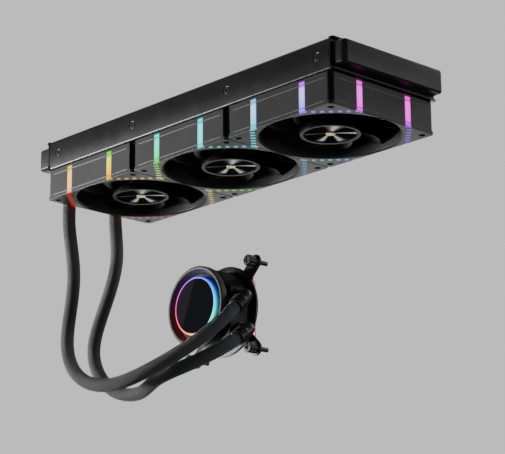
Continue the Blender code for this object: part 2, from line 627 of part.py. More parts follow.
arms = []
ear_r, ring_r = 6.5, 41.0
for q in range(4):
    mid = math.radians(45 + 90 * q)
    c = Vector((EAR * math.sqrt(2) * math.cos(mid), EAR * math.sqrt(2) * math.sin(mid)))
    spread = math.asin(ear_r / ring_r)
    arms.append((ring_r * math.cos(mid - spread), ring_r * math.sin(mid - spread)))
    for k in range(5):
        t = mid - math.pi / 2 + math.pi * k / 4
        arms.append((c.x + ear_r * math.cos(t), c.y + ear_r * math.sin(t)))
    arms.append((ring_r * math.cos(mid + spread), ring_r * math.sin(mid + spread)))
    for k in range(1, 4):
        t = mid + spread + (math.pi / 2 - 2 * spread) * k / 4
        arms.append((ring_r * math.cos(t), ring_r * math.sin(t)))
bracket = combine(prism(arms, 9.3, 11.8), lathe([(0, 8), (BODY_R + 0.8, 8), (BODY_R + 0.8, 13), (0, 13)], 32), "DIFFERENCE")
ears = [(sx * EAR, sy * EAR) for sx, sy in ((-1, -1), (1, -1), (1, 1), (-1, 1))]
bracket = combine(bracket, merged(*[turned(lathe([(0, 8), (2.7, 8), (2.7, 13), (0, 13)], 10), Matrix.Translation((x, y, 0)))
                                    for x, y in ears]), "DIFFERENCE")
pump_piece("pump_bracket", bracket, BLACK_STEEL)
thumb = to_mesh(lathe([(0, -3.0), (2.2, -3.0), (2.2, 12.1), (5.2, 12.1), (5.2, 20.6), (4.4, 21.4), (0, 21.4)], 12), "thumb_screw")
for k, (x, y) in enumerate(ears, start=1):
    place(f"bracket_screw_{k}", thumb, BLACK_STEEL, (PUMP_X + x, PUMP_Y, PUMP_Z + y), PUMP_TURN)
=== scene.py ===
import math

import bmesh
import bpy
import numpy as np
from mathutils import Matrix, Quaternion, Vector


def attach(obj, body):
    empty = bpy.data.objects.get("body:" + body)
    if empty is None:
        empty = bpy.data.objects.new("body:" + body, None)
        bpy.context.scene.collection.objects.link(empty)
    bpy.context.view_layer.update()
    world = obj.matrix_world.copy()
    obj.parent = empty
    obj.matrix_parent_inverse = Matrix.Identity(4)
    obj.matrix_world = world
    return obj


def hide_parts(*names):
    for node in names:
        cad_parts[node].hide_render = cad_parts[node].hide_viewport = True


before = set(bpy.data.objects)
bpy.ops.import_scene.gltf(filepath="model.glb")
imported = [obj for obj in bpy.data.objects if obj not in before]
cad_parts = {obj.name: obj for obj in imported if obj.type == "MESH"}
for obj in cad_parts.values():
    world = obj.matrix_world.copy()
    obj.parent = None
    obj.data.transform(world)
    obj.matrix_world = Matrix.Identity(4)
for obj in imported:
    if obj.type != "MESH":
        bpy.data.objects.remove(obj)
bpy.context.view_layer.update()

MM = 0.001
BODY = "cooler_body"
scene = bpy.context.scene

# ------------------------------------------------------------------ camera
AZ, EL, ROLL = math.radians(46.904), math.radians(-15.45), math.radians(-0.414)
TARGET = Vector((0.026444, 0.000034, -0.11131))
back = Vector((math.sin(AZ) * math.cos(EL), -math.cos(AZ) * math.cos(EL), math.sin(EL)))
right = (-back).cross(Vector((0, 0, 1))).normalized()
up = right.cross(-back)
c, s = math.cos(ROLL), math.sin(ROLL)
r2, u2 = right * c + up * s, up * c - right * s
cam_data = bpy.data.cameras.new("camera")
cam_data.sensor_width = 36
cam_data.lens = 136.59
cam_data.clip_start, cam_data.clip_end = 0.02, 60
camera = bpy.data.objects.new("camera", cam_data)
scene.collection.objects.link(camera)
m = Matrix((r2, u2, back)).transposed().to_4x4()
m.translation = TARGET + back * 1.60514
camera.matrix_world = m
scene.camera = camera

# ------------------------------------------------------------------ node helpers


def sock(value):
    return value if isinstance(value, bpy.types.NodeSocket) else None


class Mat:
    """A Principled material with a few shortcuts for procedural inputs."""

    def __init__(self, name, base=(0.05, 0.05, 0.05), metallic=0.0, roughness=0.5, **more):
        self.m = bpy.data.materials.new(name)
        self.m.use_nodes = True
        self.t = self.m.node_tree
        self.b = self.t.nodes["Principled BSDF"]
        self.b.inputs["Base Color"].default_value = (*base, 1)
        self.b.inputs["Metallic"].default_value = metallic
        self.b.inputs["Roughness"].default_value = roughness
        for k, v in more.items():
            self.b.inputs[k.replace("_", " ")].default_value = v
        self.m.diffuse_color = (*base, 1)
        self._coord = None

    def node(self, kind, **settings):
        n = self.t.nodes.new(kind)
        for k, v in settings.items():
            setattr(n, k, v)
        return n

    def link(self, a, b):
        self.t.links.new(a, b)

    def put(self, target, value):
        if sock(value) is not None:
            self.link(value, target)
        else:
            target.default_value = value

    def coord(self, which="Object"):
        if self._coord is None:
            self._coord = self.node("ShaderNodeTexCoord")
        return self._coord.outputs[which]

    def math(self, op, a, b=0.0, c=0.0, clamp=False):
        n = self.node("ShaderNodeMath", operation=op, use_clamp=clamp)
        for k, v in enumerate((a, b, c)):
            if k < len(n.inputs):
                self.put(n.inputs[k], v)
        return n.outputs[0]

    def noise(self, scale, detail=2.0, rough=0.5, vector=None, dim="3D"):
        n = self.node("ShaderNodeTexNoise", noise_dimensions=dim)
        self.link(vector if vector is not None else self.coord(), n.inputs["Vector"])
        n.inputs["Scale"].default_value = scale
        n.inputs["Detail"].default_value = detail
        n.inputs["Roughness"].default_value = rough
        return n.outputs[0]

    def ramp(self, fac, stops, mode="LINEAR"):
        n = self.node("ShaderNodeValToRGB")
        n.color_ramp.interpolation = mode
        while len(n.color_ramp.elements) < len(stops):
            n.color_ramp.elements.new(0.5)
        for e, (p, col) in zip(n.color_ramp.elements, stops):
            e.position = p
            e.color = (*col, 1) if len(col) == 3 else col
        self.link(fac, n.inputs[0])
        return n.outputs[0]

    def mapped(self, fac, low, high):
        n = self.node("ShaderNodeMapRange")
        self.link(fac, n.inputs[0])
        n.inputs[3].default_value, n.inputs[4].default_value = low, high
        return n.outputs[0]

    def scaled(self, vector, scale):
        n = self.node("ShaderNodeMapping")
        self.link(vector, n.inputs[0])
        n.inputs["Scale"].default_value = scale
        return n.outputs[0]

    def set(self, name, value):
        self.put(self.b.inputs[name], value)

    def bump(self, height, strength=0.3, distance=0.0002):
        n = self.node("ShaderNodeBump")
        n.inputs["Strength"].default_value = strength
        n.inputs["Distance"].default_value = distance
        self.link(height, n.inputs["Height"])
        self.link(n.outputs[0], self.b.inputs["Normal"])
        return n


def g(v):
    """A screen colour, 0 to 255, as linear light."""
    return tuple(((x / 255 + 0.055) / 1.055) ** 2.4 if x > 10 else x / 255 / 12.92 for x in v)


def powder(name, dark, light, rough, grain=2600.0, depth=0.00006, spread=0.07, shine=0.55):
    """Painted sheet: cloudy tone, fine orange-peel grain, worn-in roughness."""
    k = Mat(name, light, 0.0, rough, Specular_IOR_Level=shine)
    cloud = k.noise(22, 3, 0.55)
    k.set("Base Color", k.ramp(cloud, [(0.35, dark), (0.65, light)]))
    fine = k.noise(grain, 2, 0.6)
    smear = k.noise(60, 4, 0.6)
    k.set("Roughness", k.mapped(smear, rough - spread, rough + spread))
    k.bump(fine, 0.35, depth)
    return k.m


def radial(k):
    """The angle and radius about the object's own Z axis."""
    xyz = k.node("ShaderNodeSeparateXYZ")
    k.link(k.coord(), xyz.inputs[0])
    angle = k.math("ARCTAN2", xyz.outputs[1], xyz.outputs[0])
    rr = k.math("SQRT", k.math("ADD", k.math("MULTIPLY", xyz.outputs[0], xyz.outputs[0]),
                               k.math("MULTIPLY", xyz.outputs[1], xyz.outputs[1])))
    return angle, rr, xyz


def spun(name, base, light, rough, along_radius=True, metallic=1.0, aniso=0.6):
    """Brushed round metal: scratches that run along the radius, or round it."""
    k = Mat(name, base, metallic, rough, Anisotropic=aniso)
    angle, rr, _ = radial(k)
    comb = k.node("ShaderNodeCombineXYZ")
    if along_radius:
        k.put(comb.inputs[0], k.math("MULTIPLY", k.math("COSINE", angle), 60.0))
        k.put(comb.inputs[1], k.math("MULTIPLY", k.math("SINE", angle), 60.0))
        k.put(comb.inputs[2], k.math("MULTIPLY", rr, 90.0))
    else:
        k.put(comb.inputs[0], k.math("MULTIPLY", rr, 9000.0))
        k.put(comb.inputs[1], k.math("MULTIPLY", angle, 0.6))
    scratch = k.noise(1.0, 3, 0.6, comb.outputs[0])
    k.set("Base Color", k.ramp(scratch, [(0.35, base), (0.65, light)]))
    k.set("Roughness", k.mapped(scratch, rough - 0.08, rough + 0.1))
    tan = k.node("ShaderNodeTangent", direction_type="RADIAL", axis="Z")
    k.link(tan.outputs[0], k.b.inputs["Tangent"])
    k.bump(scratch, 0.12, 0.00003)
    return k.m


PAINT = powder("paint_black", (0.010, 0.010, 0.011), (0.015, 0.015, 0.0165), 0.32, shine=0.30)
TANK_PAINT = powder("paint_tank", (0.011, 0.011, 0.012), (0.016, 0.016, 0.018), 0.44, 1900, shine=0.26)
PLASTIC = powder("plastic_frame", (0.025, 0.025, 0.027), (0.034, 0.034, 0.036), 0.48, 3400, 0.00005, shine=0.26)
HOUSING = powder("plastic_housing", (0.014, 0.014, 0.015), (0.020, 0.020, 0.022), 0.50, 3000, shine=0.14)
BEZEL = powder("bezel_satin", (0.052, 0.050, 0.050), (0.066, 0.063, 0.063), 0.42, 4200, 0.00004)
BLACK_STEEL = powder("black_oxide", (0.016, 0.016, 0.017), (0.030, 0.030, 0.032), 0.36, 5200, 0.00004, shine=0.30)
RUBBER = powder("rubber", (0.010, 0.010, 0.010), (0.016, 0.016, 0.016), 0.8, 1800)


def blade_material():
    k = Mat("blade_plastic", (0.009, 0.009, 0.010), 0.0, 0.40, Specular_IOR_Level=0.04)
    flow = k.noise(55, 4, 0.6, k.scaled(k.coord(), (1.0, 1.0, 3.0)))
    k.set("Base Color", k.ramp(flow, [(0.3, (0.006, 0.006, 0.0065)), (0.7, (0.011, 0.011, 0.012))]))
    k.set("Roughness", k.mapped(flow, 0.30, 0.44))
    k.bump(k.noise(1600, 2, 0.6), 0.15, 0.00004)
    return k.m


BLADE = blade_material()
def painted_glint_cap_material():
    """Dark brushed metal with painted highlights: bright wedges at fixed angles round the disc, painted into its
    colour and metalness.
    """
    k = Mat("cap_metal_painted_glints", (0.05, 0.05, 0.052), 0.85, 0.34, Anisotropic=0.5, Specular_IOR_Level=0.0)
    angle, rr, _ = radial(k)
    turn = k.math("FRACT", k.math("ADD", k.math("DIVIDE", angle, 2 * math.pi), 1.0))
    # the stops set where the painted highlight wedges stand round the disc, dark between them
    dark, mid, lit = (0.0, 0.0, 0.0), (0.28, 0.28, 0.28), (1.0, 1.0, 1.0)
    at = lambda deg: (deg % 360) / 360.0
    stops = [(at(0), dark), (at(32), dark), (at(38), lit), (at(44), lit), (at(50), dark), (at(92), dark), (at(102), mid), (at(110), lit),
             (at(120), dark), (at(148), dark), (at(157), lit), (at(166), mid), (at(174), dark), (at(216), dark), (at(224), mid), (at(232), dark),
             (at(296), dark), (at(312), mid), (at(326), lit), (at(340), mid), (at(352), dark), (1.0, dark)]
    comb = k.node("ShaderNodeCombineXYZ")
    k.put(comb.inputs[0], k.math("MULTIPLY", k.math("COSINE", angle), 60.0))
    k.put(comb.inputs[1], k.math("MULTIPLY", k.math("SINE", angle), 60.0))
    k.put(comb.inputs[2], k.math("MULTIPLY", rr, 90.0))
    scratch = k.noise(1.0, 3, 0.6, comb.outputs[0])
    wobble = k.math("ADD", turn, k.math("MULTIPLY", k.math("SUBTRACT", scratch, 0.5), 0.018))
    # shine is the painted highlight: it lightens the colour and raises the metalness inside the wedges
    shine = k.ramp(wobble, stops)
    k.set("Base Color", k.ramp(shine, [(0.0, (0.010, 0.010, 0.011)), (1.0, (0.27, 0.265, 0.26))]))
    k.set("Metallic", k.mapped(shine, 0.0, 0.9))
    k.set("Roughness", k.mapped(scratch, 0.26, 0.42))
    tan = k.node("ShaderNodeTangent", direction_type="RADIAL", axis="Z")
    k.link(tan.outputs[0], k.b.inputs["Tangent"])
    k.bump(scratch, 0.12, 0.00003)
    return k.m


CAP_METAL_PAINTED_GLINTS = painted_glint_cap_material()
RING_METAL = spun("hub_ring_metal", (0.022, 0.022, 0.023), (0.042, 0.042, 0.044), 0.42, False, 0.1, 0.3)
RING_METAL.node_tree.nodes["Principled BSDF"].inputs["Specular IOR Level"].default_value = 0.05
GOLD = spun("emblem_gold", (0.85, 0.62, 0.25), (1.0, 0.86, 0.52), 0.28, False, 0.75, 0.3)
STEEL = spun("steel_ground", (0.42, 0.42, 0.43), (0.62, 0.62, 0.63), 0.24, False, 1.0, 0.3)


def copper_material():
    k = Mat("copper_milled", (0.7, 0.35, 0.2), 1.0, 0.28)
    lines = k.noise(1.0, 2, 0.5, k.scaled(k.coord(), (4200.0, 40.0, 40.0)))
    cloud = k.noise(70, 3, 0.5)
    k.set("Base Color", k.ramp(cloud, [(0.3, (0.62, 0.27, 0.14)), (0.7, (0.80, 0.42, 0.25))]))
    k.set("Roughness", k.mapped(lines, 0.2, 0.38))
    k.bump(lines, 0.2, 0.00003)
    return k.m


def winding_material():
    k = Mat("copper_winding", (0.5, 0.2, 0.08), 0.9, 0.35)
    angle, rr, xyz = radial(k)
    turns = k.math("SINE", k.math("MULTIPLY", xyz.outputs[2], 15000.0))
    k.set("Base Color", k.ramp(k.mapped(turns, 0.0, 1.0), [(0.0, (0.25, 0.09, 0.03)), (0.7, (0.62, 0.27, 0.11))]))
    k.bump(turns, 0.5, 0.0002)
    return k.m


COPPER, WINDING = copper_material(), winding_material()


def fin_material(name, base, light, metallic):
    k = Mat(name, light, metallic, 0.42)
    n = k.noise(300, 3, 0.6)
    k.set("Base Color", k.ramp(n, [(0.3, base), (0.7, light)]))
    k.set("Roughness", k.mapped(k.noise(900, 2, 0.5), 0.34, 0.52))
    k.bump(k.noise(2400, 2, 0.5), 0.2, 0.00004)
    return k.m


FIN = fin_material("fin_lacquer", (0.045, 0.045, 0.048), (0.085, 0.085, 0.09), 0.5)
TUBE = fin_material("tube_lacquer", (0.022, 0.022, 0.024), (0.038, 0.038, 0.04), 0.4)

YARNS = 28                       # yarns of each direction round a hose


def sleeve_material():
    """Braided sleeve: two families of yarn that pass over and under, each with its filaments, with painted shade in
    the valleys between yarns.
    """
    k = Mat("braided_sleeve", (0.03, 0.03, 0.032), 0.0, 0.62, Specular_IOR_Level=0.45)
    k.b.inputs["Sheen Weight"].default_value = 0.25
    k.b.inputs["Sheen Roughness"].default_value = 0.4
    uv = k.node("ShaderNodeUVMap", uv_map="weave")
    xy = k.node("ShaderNodeSeparateXYZ")
    k.link(uv.outputs[0], xy.inputs[0])
    a = k.math("ADD", xy.outputs[0], xy.outputs[1])
    b = k.math("SUBTRACT", xy.outputs[0], xy.outputs[1])
    fa, fb = k.math("FRACT", a), k.math("FRACT", b)
    parity = k.math("PINGPONG", k.math("ADD", k.math("FLOOR", a), k.math("FLOOR", b)), 1.0)

    def crown(f):
        w = k.math("SUBTRACT", k.math("MULTIPLY", f, 2.0), 1.0)
        return k.math("SUBTRACT", 1.0, k.math("MULTIPLY", w, w))

    def mix(x, y):
        return k.math("ADD", k.math("MULTIPLY", x, k.math("SUBTRACT", 1.0, parity)), k.math("MULTIPLY", y, parity))

    top = mix(crown(fa), crown(fb))
    along = mix(fa, fb)
    filament = k.math("SINE", k.math("MULTIPLY", along, 6.2832 * 5))
    height = k.math("ADD", top, k.math("MULTIPLY", filament, 0.10))
    dust = k.noise(500, 3, 0.6)
    # painted shade: the colour runs near-black in the valleys between yarns and light on their crowns, with random
    # dust mixed in
    tone = k.math("ADD", k.math("MULTIPLY", top, 0.85), k.math("MULTIPLY", dust, 0.25))
    k.set("Base Color", k.ramp(tone, [(0.2, (0.001, 0.001, 0.001)), (0.65, (0.026, 0.026, 0.028)), (1.0, (0.15, 0.15, 0.16))]))
    k.set("Roughness", k.mapped(top, 0.8, 0.5))
    k.bump(height, 1.0, 0.0004)
    return k.m


SLEEVE = sleeve_material()


def glow_material(name, strength, base=(0.02, 0.02, 0.02)):
    """Frosted diffuser lit from behind: its colour is painted on the piece, its cloudiness is procedural."""
    k = Mat(name, base, 0.0, 0.38)
    at = k.node("ShaderNodeAttribute", attribute_name="glow")
    n = k.noise(420, 2, 0.5)
    mul = k.node("ShaderNodeMix", data_type="RGBA", blend_type="MULTIPLY")
    mul.inputs[0].default_value = 1.0
    k.link(at.outputs["Color"], mul.inputs[6])
    k.link(k.ramp(n, [(0.2, (0.86, 0.86, 0.86)), (0.8, (1.0, 1.0, 1.0))]), mul.inputs[7])
    k.link(mul.outputs[2], k.b.inputs["Emission Color"])
    k.b.inputs["Emission Strength"].default_value = strength
    k.b.inputs["Specular IOR Level"].default_value = 0.12
    return k.m


STRIP_GLOW = glow_material("strip_diffuser", 2.4)
RING_GLOW = glow_material("ring_diffuser", 2.1)


def glass_material():
    k = Mat("display_glass", (0.004, 0.004, 0.005), 0.0, 0.05, Specular_IOR_Level=0.6)
    k.b.inputs["Coat Weight"].default_value = 0.2
    k.b.inputs["Coat Roughness"].default_value = 0.01
    k.set("Roughness", k.mapped(k.noise(35, 4, 0.6), 0.008, 0.03))
    return k.m


GLASS = glass_material()

# ------------------------------------------------------------------ mesh helpers (millimetres)


def prism(outline, z0, z1):
    bm = bmesh.new()
    low = [bm.verts.new((x, y, z0)) for x, y in outline]
    high = [bm.verts.new((x, y, z1)) for x, y in outline]
    bm.faces.new(low[::-1])
    bm.faces.new(high)
    n = len(outline)
    for i in range(n):
        bm.faces.new((low[i], low[(i + 1) % n], high[(i + 1) % n], high[i]))
    return bm


def lathe(profile, n, start=0.0):
    bm = bmesh.new()
    rings = []
    for r, z in profile:
        if r < 1e-6:
            rings.append([bm.verts.new((0, 0, z))])
        else:
            rings.append([bm.verts.new((r * math.cos(start + 2 * math.pi * k / n),
                                        r * math.sin(start + 2 * math.pi * k / n), z)) for k in range(n)])
    for a, b in zip(rings, rings[1:] + rings[:1]):
        for k in range(n):
            j = (k + 1) % n
            if len(a) == 1 and len(b) == 1:
                break
            if len(a) == 1:
                bm.faces.new((a[0], b[j], b[k]))
            elif len(b) == 1:
                bm.faces.new((a[k], a[j], b[0]))
            else:
                bm.faces.new((a[k], a[j], b[j], b[k]))
    bmesh.ops.recalc_face_normals(bm, faces=bm.faces)
    return bm


def fillet(profile, radii, steps=4):
    """A closed profile with its corners rounded; radii gives each corner's radius, 0 for none."""
    out = []
    n = len(profile)
    for i, (p, r) in enumerate(zip(profile, radii)):
        a, b, c = (np.array(profile[(i + d) % n], float) for d in (-1, 0, 1))
        if r <= 0:
            out.append(tuple(b))
            continue
        u, v = a - b, c - b
        lu, lv = np.linalg.norm(u), np.linalg.norm(v)
        u, v = u / lu, v / lv
        half = math.acos(float(np.clip(u @ v, -1, 1))) / 2
        d = min(r / math.tan(half), lu * 0.49, lv * 0.49)
        r = d * math.tan(half)
        mid = (u + v) / np.linalg.norm(u + v) * (r / math.sin(half)) + b
        p0, p1 = b + u * d - mid, b + v * d - mid
        a0, a1 = math.atan2(p0[1], p0[0]), math.atan2(p1[1], p1[0])
        turn = (a1 - a0 + math.pi) % (2 * math.pi) - math.pi
        for k in range(steps + 1):
            t = a0 + turn * k / steps
            out.append((mid[0] + r * math.cos(t), mid[1] + r * math.sin(t)))
    return out


def box(x0, x1, y0, y1, z0, z1):
    return prism([(x0, y0), (x1, y0), (x1, y1), (x0, y1)], z0, z1)


def turned(bm, matrix):
    bmesh.ops.transform(bm, matrix=matrix, verts=bm.verts)
    return bm


def joined(*parts):
    out = bmesh.new()
    for p in parts:
        tmp = bpy.data.meshes.new("tmp")
        p.to_mesh(tmp)
        p.free()
        out.from_mesh(tmp)
        bpy.data.meshes.remove(tmp)
    return out


def combine(base, tool, operation):
    objs = []
    for bm in (base, tool):
        bmesh.ops.recalc_face_normals(bm, faces=bm.faces)
        me = bpy.data.meshes.new("combine")
        bm.to_mesh(me)
        bm.free()
        ob = bpy.data.objects.new("combine", me)
        scene.collection.objects.link(ob)
        objs.append(ob)
    md = objs[0].modifiers.new("combine", "BOOLEAN")
    md.operation, md.solver, md.object = operation, "EXACT", objs[1]
    bpy.context.view_layer.update()
    me = bpy.data.meshes.new_from_object(objs[0].evaluated_get(bpy.context.evaluated_depsgraph_get()))
    out = bmesh.new()
    out.from_mesh(me)
    for ob in objs:
        old = ob.data
        bpy.data.objects.remove(ob, do_unlink=True)
        bpy.data.meshes.remove(old)
    bpy.data.meshes.remove(me)
    return out


def rounded(x0, x1, y0, y1, r, steps=6):
    pts = []
    for cx, cy, a in ((x1 - r, y0 + r, -90), (x1 - r, y1 - r, 0), (x0 + r, y1 - r, 90), (x0 + r, y0 + r, 180)):
        for k in range(steps + 1):
            t = math.radians(a + 90 * k / steps)
            pts.append((cx + r * math.cos(t), cy + r * math.sin(t)))
    return pts


def along(direction, origin):
    return Matrix.Translation(origin) @ Vector((0, 0, 1)).rotation_difference(Vector(direction)).to_matrix().to_4x4()


BEZEL.node_tree.nodes["Principled BSDF"].inputs["Specular IOR Level"].default_value = 0.28


def rims(bm, width, segments=2, angle=55, keep=lambda e: True):
    """Rounds the sharp edges."""
    bmesh.ops.recalc_face_normals(bm, faces=bm.faces)
    edges = [e for e in bm.edges if len(e.link_faces) == 2 and e.calc_face_angle(0) > math.radians(angle) and keep(e)]
    bmesh.ops.bevel(bm, geom=edges, offset=width, segments=segments, profile=0.5, affect="EDGES", clamp_overlap=True)
    return bm


def to_mesh(bm, name, angle=32):
    bmesh.ops.remove_doubles(bm, verts=bm.verts, dist=1e-4)
    bmesh.ops.recalc_face_normals(bm, faces=bm.faces)
    bmesh.ops.scale(bm, vec=(MM, MM, MM), verts=bm.verts)
    me = bpy.data.meshes.new(name)
    bm.to_mesh(me)
    bm.free()
    me.shade_smooth()
    me.set_sharp_from_angle(angle=math.radians(angle))
    return me


def piece(name, mesh, mat, body=BODY, at=(0, 0, 0), turn=(0, 0, 0), stands_for=(), slot=None, round_edges=0.0):
    mesh.materials.clear()
    mesh.materials.append(mat)
    ob = bpy.data.objects.new(name, mesh)
    ob.location = [v * MM for v in at]
    ob.rotation_euler = turn
    scene.collection.objects.link(ob)
    if round_edges:
        md = ob.modifiers.new("edges", "BEVEL")
        md.width = round_edges * MM
        md.segments = 2
        md.limit_method = "ANGLE"
        md.angle_limit = math.radians(50)
        md.use_clamp_overlap = True
    if stands_for:
        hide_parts(*([stands_for] if isinstance(stands_for, str) else stands_for))
    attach(ob, body)
    return ob


def dress(node, mat):
    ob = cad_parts[node]
    if not ob.material_slots:
        ob.data.materials.append(mat)
    for sl in ob.material_slots:
        sl.material = mat


# ------------------------------------------------------------------ dimensions (millimetres)
PITCH, FAN_H, FAN = 120.0, 27.0, 119.6
FAN_Z = -54.8
HALF = FAN / 2
HOLE, HOLE_R, FLANGE = 52.5, 2.3, 2.8
NOTCH, NOTCH_R = 56.0, 4.9
STRIP_AT, STRIP_W, STRIP_D = 27.8, 6.5, 1.5
HUB_R, HUB_FRONT, HUB_TOP, CAP_R = 25.25, 1.5, 21.5, 21.6
BLADES, TIP_R = 9, 56.0
HOSE_R = 6.0
PORT_X, PORT_Y, HOSE_TOP = -190.0, 27.0, -44.8
KNEE_UP, KNEE_LOW = Vector((-32.3, 47.0, -151.8)), Vector((-32.3, 50.0, -181.3))
TILT_UP, TILT_LOW = math.radians(43.2), math.radians(35.2)
ELBOW_ARM, FERRULE_END, LEAD = 7.5, 18.5, 5.0
VIA_NEAR = [(-187.2, -29.1, -68.3), (-184.7, -24.5, -117.1), (-185.7, -29.6, -182.7),
            (-155.2, -37.4, -218.2), (-112.9, -35.6, -229.5), (-74.0, -20.8, -217.6),
            (-44.9, 3.6, -194.7)]
VIA_FAR = [(-181.0, 22.0, -97.1), (-188.6, 11.0, -151.2), (-189.2, 3.6, -187.6),
           (-164.5, 5.0, -221.6), (-126.5, 5.0, -230.4), (-90.8, -5.0, -224.6),
           (-51.0, 5.0, -213.2)]
PUMP = (-77.8, 75.0, -156.8)
PUMP_TURN = (math.pi / 2, 0, 0)

# ------------------------------------------------------------------ hoses


def smooth_route(points, start_dir, end_dir, step):
    """Evenly spaced points on the cubic spline through points, with the given end directions."""
    p = np.array(points, float)
    h = np.linalg.norm(np.diff(p, axis=0), axis=1)
    sp = np.concatenate([[0], np.cumsum(h)])
    n = len(p)
    a, b = np.zeros((n, n)), np.zeros((n, 3))
    a[0, 0] = a[-1, -1] = 1
    b[0], b[-1] = start_dir, end_dir
    for i in range(1, n - 1):
        a[i, i - 1: i + 2] = h[i], 2 * (h[i - 1] + h[i]), h[i - 1]
        b[i] = 3 * (h[i] * (p[i] - p[i - 1]) / h[i - 1] + h[i - 1] * (p[i + 1] - p[i]) / h[i])
    mm = np.linalg.solve(a, b)

    def at(q):
        i = np.clip(np.searchsorted(sp, q) - 1, 0, n - 2)
        w = (sp[i + 1] - sp[i])[:, None]
        u = (q - sp[i])[:, None] / w
        return ((2 * u**3 - 3 * u**2 + 1) * p[i] + (u**3 - 2 * u**2 + u) * w * mm[i]
                + (3 * u**2 - 2 * u**3) * p[i + 1] + (u**3 - u**2) * w * mm[i + 1])

    fine = at(np.linspace(0, sp[-1], 4001))
    fine = np.vstack([np.array(points[0]) - np.array(start_dir) * LEAD, fine, np.array(points[-1]) + np.array(end_dir) * LEAD])
    run = np.concatenate([[0], np.cumsum(np.linalg.norm(np.diff(fine, axis=0), axis=1))])
    count = int(round(run[-1] / step))
    even = np.linspace(0, run[-1], count + 1)
    return np.stack([np.interp(even, run, fine[:, k]) for k in range(3)], 1), even


def weave(a, b):
    """The height of the braid, 0 to 1, at yarn coordinates a and b."""
    fa, fb = a - np.floor(a), b - np.floor(b)
    over = (np.floor(a) + np.floor(b)) % 2 < 0.5
    return np.where(over, 1 - (2 * fa - 1) ** 2, 1 - (2 * fb - 1) ** 2)


def sleeve_tube(name, route, run, round_by=84):
    """A tube on the route whose surface has the braid's relief."""
    n = len(route)
    d = np.gradient(route, axis=0)
    d /= np.linalg.norm(d, axis=1)[:, None]
    normal = np.cross(d[0], (0.0, 1.0, 0.0))
    normal /= np.linalg.norm(normal)
    normals = [normal]
    for i in range(1, n):
        v = normals[-1] - d[i] * (normals[-1] @ d[i])
        normals.append(v / np.linalg.norm(v))
    normals = np.array(normals)
    across = np.cross(d, normals)
    phi = 2 * np.pi * np.arange(round_by) / round_by
    pitch = 2 * math.pi * HOSE_R / YARNS
    ua = YARNS * phi / (2 * np.pi)
    vb = run / pitch
    relief = weave(ua[None, :] + vb[:, None], ua[None, :] - vb[:, None])
    rad = HOSE_R - 0.40 + 0.38 * relief
    ends = np.minimum(run, run[-1] - run)
    rad = rad - np.clip(0.5 - ends, 0, 0.5)[:, None] * 0.8
    pts = (route[:, None, :] + rad[:, :, None] * (np.cos(phi)[None, :, None] * normals[:, None, :]
                                                  + np.sin(phi)[None, :, None] * across[:, None, :])) * MM
    verts = pts.reshape(-1, 3).tolist() + [(route[0] * MM).tolist(), (route[-1] * MM).tolist()]
    faces, uvs = [], []
    for i in range(n - 1):
        for j in range(round_by):
            k = (j + 1) % round_by
            faces.append((i * round_by + j, i * round_by + k, (i + 1) * round_by + k, (i + 1) * round_by + j))
            u0, u1 = YARNS * j / round_by, YARNS * (j + 1) / round_by
            uvs += [(u0, vb[i]), (u1, vb[i]), (u1, vb[i + 1]), (u0, vb[i + 1])]
    first, last = n * round_by, n * round_by + 1
    for j in range(round_by):
        k = (j + 1) % round_by
        faces.append((first, k, j))
        uvs += [(0, 0)] * 3
        faces.append((last, (n - 1) * round_by + j, (n - 1) * round_by + k))
        uvs += [(0, 0)] * 3
    me = bpy.data.meshes.new(name)
    me.from_pydata(verts, [], faces)
    layer = me.uv_layers.new(name="weave")
    layer.data.foreach_set("uv", np.array(uvs, float).ravel())
    me.validate()
    bm = bmesh.new()
    bm.from_mesh(me)
    bmesh.ops.recalc_face_normals(bm, faces=bm.faces)
    bm.to_mesh(me)
    bm.free()
    me.shade_smooth()
    return me


def outlet(tilt):
    return Vector((0, -math.cos(tilt), -math.sin(tilt)))


for side, y, via, knee, tilt in (("near", -PORT_Y, VIA_NEAR, KNEE_UP, TILT_UP), ("far", PORT_Y, VIA_FAR, KNEE_LOW, TILT_LOW)):
    d = outlet(tilt)
    end = tuple(knee + d * (FERRULE_END + LEAD))
    route, run = smooth_route([(PORT_X, y, HOSE_TOP - LEAD), *via, end], (0, 0, -1), tuple(-d), 0.62)
    me = sleeve_tube(f"sleeve_{side}", route, run)
    ob = piece(f"sleeve_{side}", me, SLEEVE, stands_for=f"hose_{side}", slot="hose_sleeve")
    [tuple(q) for q in route * MM]


# ------------------------------------------------------------------ fan frame
def four(make):
    """The same cutter at the four quarter turns."""
    return [turned(make(), Matrix.Rotation(q * math.pi / 2, 4, "Z")) for q in range(4)]


def corner_hollow():
    c = 53.2
    a0 = math.asin((NOTCH - c) / NOTCH_R)
    start, sweep, n = math.pi / 2 - a0, 2 * math.pi - (math.pi / 2 - 2 * a0), 36
    arc = [(c + NOTCH_R * math.cos(start + sweep * k / n), c + NOTCH_R * math.sin(start + sweep * k / n)) for k in range(n + 1)]
    low = prism([(61.0, 61.0), (NOTCH, 61.0), *arc, (61.0, NOTCH)], FLANGE, FAN_H - FLANGE)
    return combine(low, box(NOTCH, 61.0, NOTCH, 61.0, FAN_H - FLANGE - 1, FAN_H + 1), "UNION")


def strips(grow, low, high):
    outer = HALF + (2.0 if grow else 0.0)
    out = []
    for sgn in (-1, 1):
        x = sgn * STRIP_AT
        out += four(lambda: box(x - STRIP_W / 2 - grow, x + STRIP_W / 2 + grow, -outer, -HALF + STRIP_D + grow, low, high))
    return out


DASH_FAR = (STRIP_AT + 60.0) / math.sqrt(2) + 0.9
DASH_PITCH, DASH_L, DASH_W = 6.9, 3.2, 4.0


